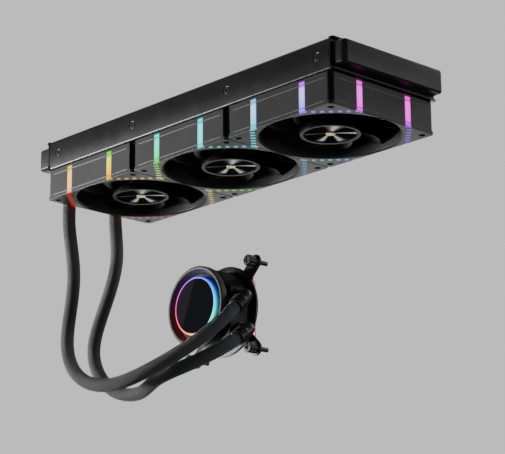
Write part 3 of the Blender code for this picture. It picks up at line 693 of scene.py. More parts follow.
def dashes(grow, low, high, inner_only=False):
    out = []
    for k in range(-3, 4):
        if inner_only and abs(k) == 3:
            continue
        t = k * DASH_PITCH
        for q in range(4):
            b = box(DASH_FAR - DASH_W / 2 - grow, DASH_FAR + DASH_W / 2 + grow, t - DASH_L / 2 - grow, t + DASH_L / 2 + grow, low, high)
            out.append(turned(b, Matrix.Rotation(math.radians(45 + 90 * q), 4, "Z")))
    return out


def frame_mesh():
    outline = rounded(-HALF, HALF, -HALF, HALF, 4.0, 12)
    bm = prism(outline, 0, FAN_H)
    rims(bm, 0.45, 2, 50, keep=lambda e: abs(e.verts[0].co.z - e.verts[1].co.z) < 0.01)
    bore = fillet([(0, -2), (59.2, -2), (59.2, 0), (57.5, 1.3), (57.5, FAN_H - 1.0), (58.6, FAN_H), (58.6, FAN_H + 2), (0, FAN_H + 2)],
                  [0, 0, 0, 0.6, 0.6, 0, 0, 0], 2)
    bm = combine(bm, lathe(bore, 160), "DIFFERENCE")
    bm = combine(bm, joined(*four(corner_hollow)), "DIFFERENCE")
    hole = [(0, -1), (2.9, -1), (2.9, 0), (HOLE_R, 0.6), (HOLE_R, FAN_H + 1), (0, FAN_H + 1)]
    bm = combine(bm, joined(*four(lambda: turned(lathe(hole, 28), Matrix.Translation((HOLE, HOLE, 0))))), "DIFFERENCE")
    bm = combine(bm, joined(*strips(0.12, -1, FAN_H + 1)), "DIFFERENCE")
    bm = combine(bm, joined(*dashes(0.1, -1, 1.4)), "DIFFERENCE")
    # two fine lines along each side, between the corner hollows
    lines = []
    for z in (3.3, 22.3):
        lines += four(lambda: turned(prism([(-HALF - 1, z - 0.38), (-HALF + 0.20, z - 0.38), (-HALF, z + 0.52), (-HALF - 1, z + 0.52)],
                                           -52.4, 52.4), Matrix(((0, 0, 1, 0), (1, 0, 0, 0), (0, 1, 0, 0), (0, 0, 0, 1)))))
    bm = combine(bm, joined(*lines), "DIFFERENCE")
    # motor base with seven curved struts on the outlet side
    pts = []
    base, end, w, lean = 24.0, 58.0, 1.7, 0.30
    for k in range(7):
        a = 2 * math.pi * (k + 0.35) / 7
        edge_a, edge_b = [], []
        for j in range(9):
            t = j / 8
            r = base + (end - base) * t
            mid = a + lean * t ** 1.4
            da = math.asin((w * (1.0 - 0.25 * t)) / r)
            edge_a.append((r * math.cos(mid - da), r * math.sin(mid - da)))
            edge_b.append((r * math.cos(mid + da), r * math.sin(mid + da)))
        pts += edge_a + edge_b[::-1]
        da = math.asin(w / base)
        span = 2 * math.pi / 7 - 2 * da
        for j in range(1, 6):
            t = a + da + span * j / 6
            pts.append((base * math.cos(t), base * math.sin(t)))
    star = prism(pts, FAN_H - 5.4, FAN_H - 2.4)
    bm = combine(bm, star, "UNION")
    return to_mesh(bm, "fan_frame", 10.5)


def mixed(stops, t):
    """A screen colour between stops of (position, colour)."""
    t = min(max(t, stops[0][0]), stops[-1][0])
    for (p0, c0), (p1, c1) in zip(stops, stops[1:]):
        if t <= p1:
            w = (t - p0) / max(p1 - p0, 1e-9)
            return tuple(x + (y - x) * w for x, y in zip(c0, c1))
    return stops[-1][1]


# Rainbow of each fan. Strips: (from the intake edge up, bottom, middle, top); corners: (first, last).
# Sides are n(ear), r(ight), f(ar), l(eft); the strips of a side are its first and second, anticlockwise from below.
LIGHTS = {
    1: {"n0": ((255, 230, 205), (255, 236, 176), (255, 230, 100)), "n1": ((250, 205, 70), (238, 236, 92), (96, 222, 60)),
        "r0": ((214, 205, 90), (200, 225, 90), (150, 225, 80)), "r1": ((196, 200, 90), (170, 215, 90), (120, 215, 90)),
        "f0": ((215, 200, 100), (225, 190, 90), (235, 180, 80)), "f1": ((225, 96, 80), (235, 120, 80), (245, 150, 70)),
        "l0": ((222, 78, 66), (235, 110, 70), (250, 150, 60)), "l1": ((240, 112, 98), (250, 140, 90), (255, 170, 70)),
        "cnl": ((232, 112, 98), (226, 96, 84)), "cnr": ((226, 196, 84), (206, 196, 92)),
        "cfr": ((196, 192, 96), (206, 186, 96)), "cfl": ((206, 70, 58), (214, 84, 72))},
    2: {"n0": ((96, 232, 150), (112, 240, 226), (92, 234, 240)), "n1": ((96, 236, 240), (126, 242, 246), (104, 236, 244)),
        "r0": ((86, 214, 222), (100, 220, 240), (120, 220, 250)), "r1": ((60, 170, 205), (80, 190, 230), (110, 200, 245)),
        "f0": ((50, 150, 190), (70, 180, 200), (80, 200, 210)), "f1": ((120, 200, 100), (100, 215, 130), (90, 225, 160)),
        "l0": ((190, 200, 96), (160, 215, 110), (120, 225, 140)), "l1": ((190, 206, 92), (150, 220, 110), (110, 230, 150)),
        "cnl": ((130, 220, 110), (196, 204, 92)), "cnr": ((70, 200, 204), (60, 196, 196)),
        "cfr": ((40, 140, 176), (50, 150, 160)), "cfl": ((96, 186, 88), (168, 196, 96))},
    3: {"n0": ((128, 222, 232), (214, 238, 255), (182, 220, 255)), "n1": ((194, 188, 252), (226, 216, 255), (214, 120, 250)),
        "r0": ((232, 92, 226), (248, 132, 246), (236, 84, 224)), "r1": ((214, 70, 222), (246, 110, 240), (240, 84, 226)),
        "f0": ((140, 70, 220), (170, 100, 235), (190, 110, 240)), "f1": ((90, 190, 222), (120, 190, 240), (150, 190, 250)),
        "l0": ((100, 205, 226), (130, 215, 240), (150, 220, 250)), "l1": ((120, 222, 232), (150, 225, 240), (170, 225, 250)),
        "cnl": ((128, 222, 236), (110, 214, 222)), "cnr": ((176, 160, 246), (176, 96, 236)),
        "cfr": ((172, 62, 214), (140, 60, 216)), "cfl": ((96, 190, 222), (70, 180, 214))},
}


def saturated(col, power, gain):
    peak = max(max(col), 1e-6)
    return tuple((v / peak) ** power * peak * gain for v in col)


def glow_at(fan, x, y, z):
    """The light's linear colour at a point of the guide, in the fan's own millimetres."""
    table = LIGHTS[fan]
    on_side = max(abs(x), abs(y)) > HALF - STRIP_D - 0.05 and z > 0.9 or z > 1.5
    if on_side:
        if abs(y) >= abs(x):
            key = ("n" + ("0" if x < 0 else "1")) if y < 0 else ("f" + ("0" if x > 0 else "1"))
        else:
            key = ("r" + ("0" if y < 0 else "1")) if x > 0 else ("l" + ("0" if y > 0 else "1"))
        low, mid, high = table[key]
        col = g(mixed([(0.0, low), (0.45, mid), (0.72, mid), (1.0, high)], z / FAN_H))
        across = abs(abs(x if abs(y) >= abs(x) else y) - STRIP_AT)
        seam = min(abs(z - 3.3), abs(z - 22.3)) < 0.5
        deep = 1.0 if z > FAN_H - 1.3 or across > STRIP_W / 2 - 0.3 else 0.0
        power = (0.05 if z > FAN_H - 1.3 else 0.4 if deep else 1.0) * (0.5 if seam else 1.0)
        return saturated(col, 2.6, power)
    key = "c" + ("n" if y < 0 else "f") + ("l" if x < 0 else "r")
    first, last = table[key]
    t = (abs(abs(y) - 44) * (1 if abs(y) < 44 else -1) / 32) + 0.5     # 0 at the near or far side, 1 at the end side
    return saturated(g(mixed([(0.0, first), (1.0, last)], t)), 1.8, 0.4 if y > 0 else 0.45)


def guide_mesh():
    """Eight strips with the frame's fine lines across them, and seven dashes at each corner."""
    parts = []
    for q in range(4):
        for sgn in (-1, 1):
            bm = box(sgn * STRIP_AT - STRIP_W / 2, sgn * STRIP_AT + STRIP_W / 2, -HALF + 0.03, -HALF + STRIP_D, 0.02, FAN_H - 0.02)
            cuts = sorted([3.3 - 0.28, 3.3 + 0.28, 22.3 - 0.28, 22.3 + 0.28] + [27 * k / 12 for k in range(1, 12)])
            for z in cuts:
                geom = bm.verts[:] + bm.edges[:] + bm.faces[:]
                bmesh.ops.bisect_plane(bm, geom=geom, plane_co=(0, 0, z), plane_no=(0, 0, 1))
            for z in (FAN_H - 1.3,):
                geom = bm.verts[:] + bm.edges[:] + bm.faces[:]
                bmesh.ops.bisect_plane(bm, geom=geom, plane_co=(0, 0, z), plane_no=(0, 0, 1))
            for x in (-2.5, 2.5):
                geom = bm.verts[:] + bm.edges[:] + bm.faces[:]
                bmesh.ops.bisect_plane(bm, geom=geom, plane_co=(sgn * STRIP_AT + x, 0, 0), plane_no=(1, 0, 0))
            for z0 in (3.3, 22.3):
                inner = [f for f in bm.faces if f.normal.y < -0.9 and abs(f.calc_center_median().z - z0) < 0.27]
                out = bmesh.ops.extrude_face_region(bm, geom=inner)
                vs = [v for v in out["geom"] if isinstance(v, bmesh.types.BMVert)]
                bmesh.ops.translate(bm, verts=vs, vec=(0, 0.4, 0))
                bmesh.ops.delete(bm, geom=inner, context="FACES")
            parts.append(turned(bm, Matrix.Rotation(q * math.pi / 2, 4, "Z")))
    body = joined(*parts)
    tabs = combine(joined(*dashes(0, 0.04, 1.2)), box(-HALF + 0.05, HALF - 0.05, -HALF + 0.05, HALF - 0.05, -1, 3), "INTERSECT")
    # the end dashes run into the strips, so they stop where a strip begins
    tabs = combine(tabs, joined(*strips(0.01, -1, 3)), "DIFFERENCE")
    return joined(body, tabs)


guide_base = to_mesh(guide_mesh(), "light_guide", 40)


def painted_guide(fan):
    me = guide_base.copy()
    glow = me.color_attributes.new("glow", "FLOAT_COLOR", "POINT")
    data = np.ones((len(me.vertices), 4), np.float32)
    for i, v in enumerate(me.vertices):
        x, y, z = (q / MM for q in v.co)
        data[i, :3] = glow_at(fan, x, y, z)
    glow.data.foreach_set("color", data.ravel())
    return me


# ------------------------------------------------------------------ rotor
def blade(k, stations=13, ring=9):
    """A blade lofted from rounded aerofoil sections."""
    bm = bmesh.new()
    rows = []
    for i in range(stations):
        t = i / (stations - 1)
        r = 24.2 + (TIP_R - 24.2) * t
        span = math.radians(50 - 12 * t)
        sweep = math.radians(26 * t ** 1.3)
        low, high = 4.6 + 0.6 * t, 19.0 - 2.2 * t
        row = []
        for side in (1, -1):
            for j in range(ring):
                w = j / (ring - 1)
                cc = 0.5 - 0.5 * math.cos(math.pi * w)
                if side < 0:
                    cc = 1 - cc
                if side < 0 and j in (0, ring - 1):
                    continue
                a = 2 * math.pi * k / BLADES + sweep + (cc - 0.5) * span
                thick = 0.95 * (1 - 0.3 * t) * math.sqrt(max(4 * cc * (1 - cc), 0.0)) ** 0.8
                if t > 0.97:
                    thick *= 0.6
                u = low + (high - low) * (cc + 0.10 * math.sin(math.pi * cc)) + side * thick
                row.append(bm.verts.new((r * math.cos(a), r * math.sin(a), u)))
        rows.append(row)
    n = len(rows[0])
    for a, b in zip(rows, rows[1:]):
        for j in range(n):
            bm.faces.new((a[j], a[(j + 1) % n], b[(j + 1) % n], b[j]))
    bm.faces.new(rows[0][::-1])
    bm.faces.new(rows[-1])
    bmesh.ops.recalc_face_normals(bm, faces=bm.faces)
    return bm


def rotor_mesh():
    prof = fillet([(1.8, 4.4), (CAP_R + 0.3, 4.4), (CAP_R + 0.3, 2.5), (HUB_R, 2.5), (HUB_R, HUB_TOP), (23.4, HUB_TOP), (23.4, 6.4), (1.8, 6.4)],
                  [0, 0, 0, 0.5, 0.4, 0.4, 0.6, 0], 3)
    hub = lathe(prof, 96)
    return to_mesh(combine(hub, joined(*[blade(k) for k in range(BLADES)]), "UNION"), "rotor", 38)


def cap_mesh():
    """A shallow dish pressed into flat sectors, with a seat for the emblem."""
    sectors = 14
    bm = bmesh.new()
    rings = []
    for r, z, wave in ((3.9, 3.05, 0.0), (8.0, 2.95, 0.10), (14.0, 2.72, 0.20), (20.2, 2.42, 0.26), (21.2, 2.30, 0.0), (CAP_R, 2.7, 0.0), (CAP_R, 4.1, 0.0)):
        ring = []
        for k in range(sectors * 6):
            a = 2 * math.pi * k / (sectors * 6)
            saw = (k % 6) / 6.0
            sect = k // 6
            lift = wave * (saw - 0.5) * (1 if sect % 2 else -1) * 2
            ring.append(bm.verts.new((r * math.cos(a), r * math.sin(a), z + lift)))
        rings.append(ring)
    n = sectors * 6
    for a, b in zip(rings, rings[1:]):
        for k in range(n):
            j = (k + 1) % n
            bm.faces.new((a[k], a[j], b[j], b[k]))
    bm.faces.new(rings[0])
    bm.faces.new(rings[-1][::-1])
    return to_mesh(bm, "cap", 3)


def ring_trim():
    prof = fillet([(CAP_R + 0.35, 2.6), (CAP_R + 0.35, HUB_FRONT + 0.1), (HUB_R, HUB_FRONT + 0.1), (HUB_R, 2.6)], [0, 0.7, 0.9, 0], 5)
    return to_mesh(lathe(prof, 96), "ring_trim", 40)


def emblem():
    """A small plain badge: a domed disc in a ring, with six shallow petals."""
    bm = bmesh.new()
    rings = []
    n = 48
    for r, z, w in ((0.0, 2.1, 0), (1.0, 2.1, 0.0), (1.8, 2.3, 0.15), (2.7, 2.4, 0.15), (3.1, 2.15, 0.0), (3.5, 2.1, 0.0), (3.95, 2.35, 0.0), (3.95, 3.1, 0.0)):
        if r == 0:
            rings.append([bm.verts.new((0, 0, z))])
            continue
        rings.append([bm.verts.new((r * math.cos(2 * math.pi * k / n), r * math.sin(2 * math.pi * k / n),
                                    z + w * math.cos(12 * math.pi * k / n))) for k in range(n)])
    for a, b in zip(rings, rings[1:]):
        for k in range(n):
            j = (k + 1) % n
            bm.faces.new((a[0], b[j], b[k]) if len(a) == 1 else (a[k], a[j], b[j], b[k]))
    bm.faces.new(rings[-1][::-1])
    return to_mesh(bm, "emblem", 40)


def screw_mesh(head_r, head_h, shank_r, shank_l, cross=True):
    """A pan head with a cross recess, head down at z = 0."""
    prof = fillet([(0, 0), (head_r, 0), (head_r, head_h), (shank_r, head_h), (shank_r, head_h + shank_l - 0.5),
                   (shank_r - 0.5, head_h + shank_l), (0, head_h + shank_l)], [0, head_h * 0.55, 0, 0, 0, 0, 0], 4)
    bm = lathe(prof, 32)
    if cross:
        w, l, dpt = head_r * 0.16, head_r * 0.62, head_h * 0.6
        plus = [(-w, -l), (w, -l), (w, -w), (l, -w), (l, w), (w, w), (w, l), (-w, l), (-w, w), (-l, w), (-l, -w), (-w, -w)]
        bm = combine(bm, prism(plus, -1, dpt), "DIFFERENCE")
    return to_mesh(bm, "screw", 30)


fan_frame = frame_mesh()
fan_rotor, fan_cap, fan_trim, fan_emblem = rotor_mesh(), cap_mesh(), ring_trim(), emblem()
fan_screw = screw_mesh(2.9, 1.9, 1.5, 6.9)
foam_mesh = to_mesh(joined(*four(lambda: box(-46.8, 46.8, -58.4, -56.4, 27.06, 27.74))), "foam")
pad_mesh = to_mesh(lathe(fillet([(2.6, 27.05), (5.2, 27.05), (5.2, 27.75), (2.6, 27.75)], [0.2] * 4, 2), 28), "pad")
for i, x in enumerate((-PITCH, 0.0, PITCH), start=1):
    at, spin = (x, 0, FAN_Z), f"fan_rotor_{i}"
    piece(f"frame_shell_{i}", fan_frame, PLASTIC, BODY, at, stands_for=f"fan_{i}_frame", slot="frame_plastic")
    piece(f"light_strips_{i}", painted_guide(i), STRIP_GLOW, BODY, at, stands_for=f"fan_{i}_light_guide", slot=f"fan_light_{i}")
    piece(f"impeller_{i}", fan_rotor, BLADE, spin, at, stands_for=f"fan_{i}_rotor", slot="blade_plastic")
    piece(f"hub_disc_{i}", fan_cap, CAP_METAL_PAINTED_GLINTS, spin, at, stands_for=f"fan_{i}_hub_cap", slot="hub_metal")
    piece(f"hub_ring_{i}", fan_trim, RING_METAL, spin, at, slot="hub_metal")
    piece(f"hub_badge_{i}", fan_emblem, GOLD, spin, at, slot="hub_metal")
    piece(f"fan_foam_{i}", foam_mesh, RUBBER, BODY, at, slot="rubber")
    dress(f"fan_{i}_stator", WINDING)
    dress(f"fan_{i}_shaft", STEEL)
    for letter, sx, sy in (("a", -1, -1), ("b", 1, -1), ("c", 1, 1), ("d", -1, 1)):
        spot = (x + sx * HOLE, sy * HOLE, FAN_Z + FAN_H - FLANGE - 0.3 - 1.9)
        piece(f"fan_bolt_{i}{letter}", fan_screw, BLACK_STEEL, BODY, spot, stands_for=f"fan_{i}_screw_{letter}", slot="black_steel")
        piece(f"fan_pad_{i}{letter}", pad_mesh, RUBBER, BODY, (x + sx * HOLE, sy * HOLE, FAN_Z), slot="rubber")


# ------------------------------------------------------------------ radiator
SIDE_SCREWS = (-165.0, -60.5, 60.5, 165.0)
SCREW_Z = -13.3


def side_plate():
    """Folded channel with rolled edges, dimples for the side screws and holes in both flanges."""
    w, f, sh, t = 60.0, 46.0, 1.1, 27.0
    face = [(-w + 0.75 * (1 - math.sin(math.pi * k / 10)) ** 1.0, -2.2 - (t - 4.4) * k / 10) for k in range(1, 10)]
    roll = 2.2
    top_roll = [(-w + 0.75 + roll * (1 - math.sin(math.radians(a))), -roll * (1 - math.cos(math.radians(a)))) for a in range(0, 91, 15)]
    low_roll = [(x, -t - z) for x, z in top_roll[::-1]]
    outline = [(-f, -sh), (-f, 0), *top_roll, *face, *low_roll, (-f, -t), (-f, -t + sh), (-w + 2.2 + sh, -t + sh), (-w + 0.75 + sh, -t + 2.2 + sh),
               (-w + 0.75 + sh, -2.2 - sh), (-w + 2.2 + sh, -sh)]
    bm = prism(outline, -178.0, 178.0)
    turned(bm, Matrix(((0, 0, 1, 0), (1, 0, 0, 0), (0, 1, 0, 0), (0, 0, 0, 1))))
    holes = [turned(lathe([(0, -t - 1), (1.9, -t - 1), (1.9, 1), (0, 1)], 24), Matrix.Translation((x + q * HOLE, -HOLE, 0)))
             for x in (-PITCH, 0, PITCH) for q in (-1, 1)]
    bm = combine(bm, joined(*holes), "DIFFERENCE")
    dimples = [turned(lathe([(0, -1), (3.9, -1), (3.9, 0.01), (3.2, 0.45), (1.9, 0.75), (1.9, 3), (0, 3)], 40),
                      along((0, 1, 0), (x, -w, SCREW_Z))) for x in SIDE_SCREWS]
    bm = combine(bm, joined(*dimples), "DIFFERENCE")
    return to_mesh(bm, "side_plate", 28)


def tank(end, ports):
    sg = 1 if end > 0 else -1
    x0, x1, w, r = 180.3, abs(end), 57.5, 4.5
    pts = [(x0, -w)]
    pts += [(x1 - r + r * math.sin(math.radians(a)), -w + r - r * math.cos(math.radians(a))) for a in range(0, 91, 9)]
    pts += [(x, -y) for x, y in pts[::-1]]
    bm = prism(pts, -23.4, -3.6)
    rims(bm, 2.2, 5, 60, keep=lambda e: abs(e.verts[0].co.z - e.verts[1].co.z) < 0.01 and not all(v.co.x < x0 + 0.01 for v in e.verts))
    if sg < 0:
        turned(bm, Matrix.Scale(-1, 4, Vector((1, 0, 0))))
        bmesh.ops.reverse_faces(bm, faces=bm.faces)
    if ports:
        for y in (-PORT_Y, PORT_Y):
            prof = fillet([(0, -30.0), (6.0, -30.0), (6.0, -25.2), (6.4, -24.6), (6.4, -22.8), (0, -22.8)], [0, 0.5, 0.3, 0.3, 0, 0], 3)
            bm = combine(bm, turned(lathe(prof, 40), Matrix.Translation((PORT_X, y, 0))), "UNION")
        bm = combine(bm, turned(lathe([(0, -4), (5.0, -4), (5.0, -1.05), (4.4, 0.6), (0, 0.6)], 32), along((-1, 0, 0), (-197.0, 0, -13.5))), "DIFFERENCE")
    return to_mesh(bm, "tank", 30)


def header(stands):
    x0, x1, w, r = 178.3, 183.0, 60.0, 2.6
    pts = [(x0, -w)] + [(x1 - r + r * math.sin(math.radians(a)), -w + r - r * math.cos(math.radians(a))) for a in range(0, 91, 10)]
    pts += [(x, -y) for x, y in pts[::-1]]
    bm = prism(pts, -27.0, 0)
    bm = combine(bm, box(180.0, x1 + 1, -w - 1, w + 1, -27.0 + 1.6, -1.6), "DIFFERENCE")
    return to_mesh(bm, "header", 30)


plate_mesh = side_plate()
piece("channel_near", plate_mesh, PAINT, stands_for="side_plate_near", slot="radiator_paint")
piece("channel_far", plate_mesh, PAINT, turn=(0, 0, math.pi), stands_for="side_plate_far", slot="radiator_paint")
head_mesh = header(None)
piece("end_plate_right", head_mesh, PAINT, stands_for="header_plate_right", slot="radiator_paint", round_edges=0.3)
piece("end_plate_left", head_mesh, PAINT, turn=(0, 0, math.pi), stands_for="header_plate_left", slot="radiator_paint", round_edges=0.3)
piece("return_tank", tank(193.0, False), TANK_PAINT, stands_for="tank_right", slot="radiator_paint")
piece("port_tank", tank(-197.0, True), TANK_PAINT, stands_for="tank_left", slot="radiator_paint")

counter = to_mesh(combine(lathe(fillet([(0, 0.25), (3.1, 0.25), (3.1, 0.5), (1.7, 1.3), (1.7, 2.6), (0, 2.6)], [0, 0.2, 0, 0, 0, 0], 3), 36),
                          lathe([(0, -1), (1.25, -1), (1.25, 0.9), (0, 0.9)], 6), "DIFFERENCE"), "side_screw", 30)
for k, x in enumerate(SIDE_SCREWS, start=1):
    piece(f"side_screw_near_{k}", counter, BLACK_STEEL, at=(x, -60.0, SCREW_Z), turn=(-math.pi / 2, 0, 0), slot="black_steel")
    piece(f"side_screw_far_{k}", counter, BLACK_STEEL, at=(x, 60.0, SCREW_Z), turn=(math.pi / 2, 0, 0), slot="black_steel")

# core: flat tubes with folded fins between them
TUBES, CORE_W = 12, 45.7
tube_t = 1.9
gap_w = (2 * CORE_W - TUBES * tube_t) / (TUBES + 1)
tube_parts = []
for k in range(TUBES):
    y0 = -CORE_W + gap_w + k * (gap_w + tube_t)
    prof = rounded(y0, y0 + tube_t, -22.6, -4.4, 0.9, 4)
    b = prism(prof, -177.9, 177.9)
    tube_parts.append(turned(b, Matrix(((0, 0, 1, 0), (1, 0, 0, 0), (0, 1, 0, 0), (0, 0, 0, 1)))))
piece("core_tubes", to_mesh(joined(*tube_parts), "core_tubes", 40), TUBE, stands_for="fin_core", slot="fin_aluminium")


def fin_rows():
    """Folded fin strips: each is one zigzag sheet with louvre-like facets."""
    verts, faces = [], []
    pitch = 1.5
    turns = int(355.0 / pitch)
    depth = (-25.2, -13.5, -1.6)
    for k in range(TUBES + 1):
        y0 = -CORE_W + k * (gap_w + tube_t) + 0.05
        y1 = y0 + gap_w - 0.10
        base = len(verts)
        for i in range(turns + 1):
            x = -177.5 + pitch * i
            y = y0 if i % 2 else y1
            for z in depth:
                verts.append((x * MM, y * MM, z * MM))
            for z in depth:
                verts.append(((x + 0.16) * MM, y * MM, z * MM))
        m = 6
        for i in range(turns):
            a, b = base + i * m, base + (i + 1) * m
            for q in (0, 1):
                faces.append((a + q, b + q, b + q + 1, a + q + 1))
                faces.append((a + 3 + q, a + 4 + q, b + 4 + q, b + 3 + q))
            faces.append((a, a + 3, b + 3, b))
            faces.append((a + 2, b + 2, b + 5, a + 5))
        e = base
        faces.append((e, e + 1, e + 4, e + 3))
        faces.append((e + 1, e + 2, e + 5, e + 4))
        e = base + turns * m
        faces.append((e, e + 3, e + 4, e + 1))
        faces.append((e + 1, e + 4, e + 5, e + 2))
    me = bpy.data.meshes.new("core_fins")
    me.from_pydata(verts, [], faces)
    bm = bmesh.new()
    bm.from_mesh(me)
    bmesh.ops.recalc_face_normals(bm, faces=bm.faces)
    bm.to_mesh(me)
    bm.free()
    return me


piece("core_fins", fin_rows(), FIN, slot="fin_aluminium")

plug = combine(lathe(fillet([(0, 0.3), (4.2, 0.3), (6.2, 0.3), (6.2, 2.4), (0, 2.4)], [0, 0, 0, 0.5, 0], 3), 40),
               lathe([(0, 0.9), (2.6, 0.9), (2.6, 4), (0, 4)], 6), "DIFFERENCE")
plug = combine(plug, lathe([(0, -5.5), (3.9, -5.5), (3.9, 0.6), (0, 0.6)], 32), "UNION")
piece("drain_plug", to_mesh(plug, "plug", 30), BLACK_STEEL, at=(-197.0, 0, -13.5), turn=(0, -math.pi / 2, 0), stands_for="fill_plug", slot="black_steel")


# ------------------------------------------------------------------ hose fittings
def collar(a, b):
    """Crimp collar from a to b along Z: rolled ends and three pressed bands."""
    r = 7.35
    prof = [(0, a), (5.9, a), (r - 0.5, a), (r, a + 0.6)]
    length = b - a
    for k in range(3):
        m0 = a + length * (0.30 + 0.2 * k)
        prof += [(r, m0 - 0.9), (r - 0.45, m0 - 0.45), (r - 0.45, m0 + 0.45), (r, m0 + 0.9)]
    prof += [(r, b - 0.6), (r - 0.5, b), (0, b)]
    return lathe(prof, 56)


for side, y in (("near", -PORT_Y), ("far", PORT_Y)):
    piece(f"collar_{side}", to_mesh(collar(HOSE_TOP + 0.3, -30.3), "collar", 40), BLACK_STEEL, at=(PORT_X, y, 0),
          stands_for=f"port_ferrule_{side}", slot="black_steel")


def elbow_mesh(knee, d):
    """A collar on the port face, a round bend and a short arm, swept in one piece."""
    face = PUMP[0] + 35.5 + 0.3
    start = Vector((face, knee.y, knee.z))
    bend = 3.2
    p = []
    r = []
    for x, rad in ((face, 7.3), (face + 0.3, 7.5), (face + 2.2, 7.5), (face + 2.6, 7.2), (face + 2.7, 6.2)):
        p.append(Vector((x, knee.y, knee.z)))
        r.append(rad)
    c0 = knee + Vector((-bend, 0, 0))
    c1 = knee + d * bend
    for k in range(13):
        t = k / 12
        p.append(c0 * (1 - t) ** 2 + knee * 2 * t * (1 - t) + c1 * t * t)
        r.append(6.2)
    for dist, rad in ((ELBOW_ARM - 1.7, 6.2), (ELBOW_ARM - 1.6, 6.9), (ELBOW_ARM - 0.3, 6.9), (ELBOW_ARM, 6.6)):
        p.append(knee + d * dist)
        r.append(rad)
    n = 48
    bm = bmesh.new()
    rings = []
    for i, (c, rad) in enumerate(zip(p, r)):
        a, b = p[max(i - 1, 0)], p[min(i + 1, len(p) - 1)]
        if i < 5:
            t = Vector((1, 0, 0))
        elif i > 17:
            t = d
        else:
            w = (i - 5) / 12
            t = (Vector((1, 0, 0)) * (1 - w) + Vector(d) * w).normalized()
        side = Vector((1, 0, 0)).cross(d).normalized()
        nrm = side.cross(t).normalized()
        rings.append([bm.verts.new(c + (side * math.cos(2 * math.pi * k / n) + nrm * math.sin(2 * math.pi * k / n)) * rad) for k in range(n)])
    for a, b in zip(rings, rings[1:]):
        for k in range(n):
            j = (k + 1) % n
            bm.faces.new((a[k], a[j], b[j], b[k]))
    bm.faces.new(rings[0][::-1])
    bm.faces.new(rings[-1])
    return to_mesh(bm, "elbow", 35)


for name, knee, tilt in (("upper", KNEE_UP, TILT_UP), ("lower", KNEE_LOW, TILT_LOW)):
    d = outlet(tilt)
    piece(f"swivel_{name}", elbow_mesh(knee, d), BLACK_STEEL, stands_for=f"elbow_{name}", slot="black_steel")
    piece(f"collar_{name}", to_mesh(turned(collar(ELBOW_ARM + 0.3, FERRULE_END - 0.3), along(d, knee)), "collar", 40), BLACK_STEEL,
          stands_for=f"pump_ferrule_{name}", slot="black_steel")

# ------------------------------------------------------------------ pump head (about Z, then turned to face -Y)
TOP = 48.0


def pump_piece(name, bm, mat, body=BODY, angle=32, round_edges=0.0, **more):
    return piece(name, to_mesh(bm, name, angle), mat, body, PUMP, PUMP_TURN, round_edges=round_edges, **more)


body_prof = fillet([(0, 19), (22, 19), (22, 7.3), (28.3, 7.3), (28.3, 5.3), (36, 5.3), (36, 9), (34.8, 9.2), (34.8, 14.0), (34.3, 14.4), (34.3, 15.2),
                    (34.8, 15.6), (34.8, 38.6), (34.2, 39.0), (34.2, 39.9), (34.8, 40.3), (34.8, 41.7), (21, 41.7), (21, 22), (0, 22)],
                   [0, 0, 0, 0, 0.3, 0.6, 0.6, 0, 0.2, 0.2, 0.2, 0.2, 0.2, 0.2, 0.2, 0.2, 0.4, 0, 0, 0], 3)
block = rims(prism(rounded(23.0, 35.5, -33.5, 15.0, 3.0, 6), 17.0, 38.0), 0.9, 3, 55)
pump_piece("pump_shell", combine(lathe(body_prof, 120), block, "UNION"), HOUSING, stands_for="pump_housing", slot="frame_plastic")
bezel_prof = fillet([(30.4, 42.0), (36, 42.0), (36, TOP), (33.2, TOP), (30.4, 43.2)], [0.3, 0.5, 1.3, 0.7, 0.1], 7)
pump_piece("pump_front_ring", lathe(bezel_prof, 160), BEZEL, stands_for="pump_bezel", slot="bezel_metal", angle=40)


def ring_colour(theta):
    """The rainbow round the display, by the angle from the right, anticlockwise seen from the front."""
    t = math.degrees(theta) % 360
    return mixed([(0, (84, 206, 238)), (30, (84, 168, 246)), (60, (112, 132, 246)), (90, (134, 108, 240)), (120, (158, 74, 212)),
                  (150, (196, 72, 180)), (180, (220, 76, 152)), (210, (242, 100, 138)), (240, (252, 152, 128)), (270, (255, 206, 152)),
                  (300, (170, 236, 196)), (330, (84, 228, 214)), (360, (84, 206, 238))], t)


def light_ring():
    prof = fillet([(22.9, 42.0), (30.1, 42.0), (30.1, 42.9), (28.4, 42.88), (27.0, 42.85), (25.9, 42.8), (25.9, 44.2), (25.9, 45.6), (25.9, 46.6), (25.9, 47.2), (25.9, 47.9), (24.95, 47.9), (24.95, 46.8), (22.9, 46.8)],
                  [0, 0, 0.1, 0, 0, 0, 0, 0, 0, 0, 0.15, 0.15, 0, 0], 3)
    return lathe(prof, 160)


ring = to_mesh(light_ring(), "light_ring", 60)
glow = ring.color_attributes.new("glow", "FLOAT_COLOR", "POINT")
data = np.ones((len(ring.vertices), 4), np.float32)
for i, v in enumerate(ring.vertices):
    col = g(ring_colour(math.atan2(v.co.y, v.co.x)))
    rr, zz = math.hypot(v.co.x, v.co.y) / MM, v.co.z / MM
    if zz > 47.3:
        data[i, :3] = [q * 1.3 for q in saturated(col, 1.5, 1.0)]
    else:
        data[i, :3] = saturated(col, 1.9, 1.4 * (0.10 + 0.90 * min(max((zz - 43.6) / 3.4, 0.0), 1.0) ** 1.3) if rr < 26.3 else 0.02)
glow.data.foreach_set("color", data.ravel())
piece("display_halo", ring, RING_GLOW, BODY, PUMP, PUMP_TURN, stands_for="pump_light_ring", slot="ring_light")
glass_prof = fillet([(0, 47.1), (24.2, 47.1), (24.65, 47.1), (24.65, TOP), (24.2, TOP), (0, TOP)], [0, 0, 0.15, 0.3, 0, 0], 4)
pump_piece("display_cover", lathe(glass_prof, 128), GLASS, stands_for="pump_display_glass", slot="display_glass", angle=50)
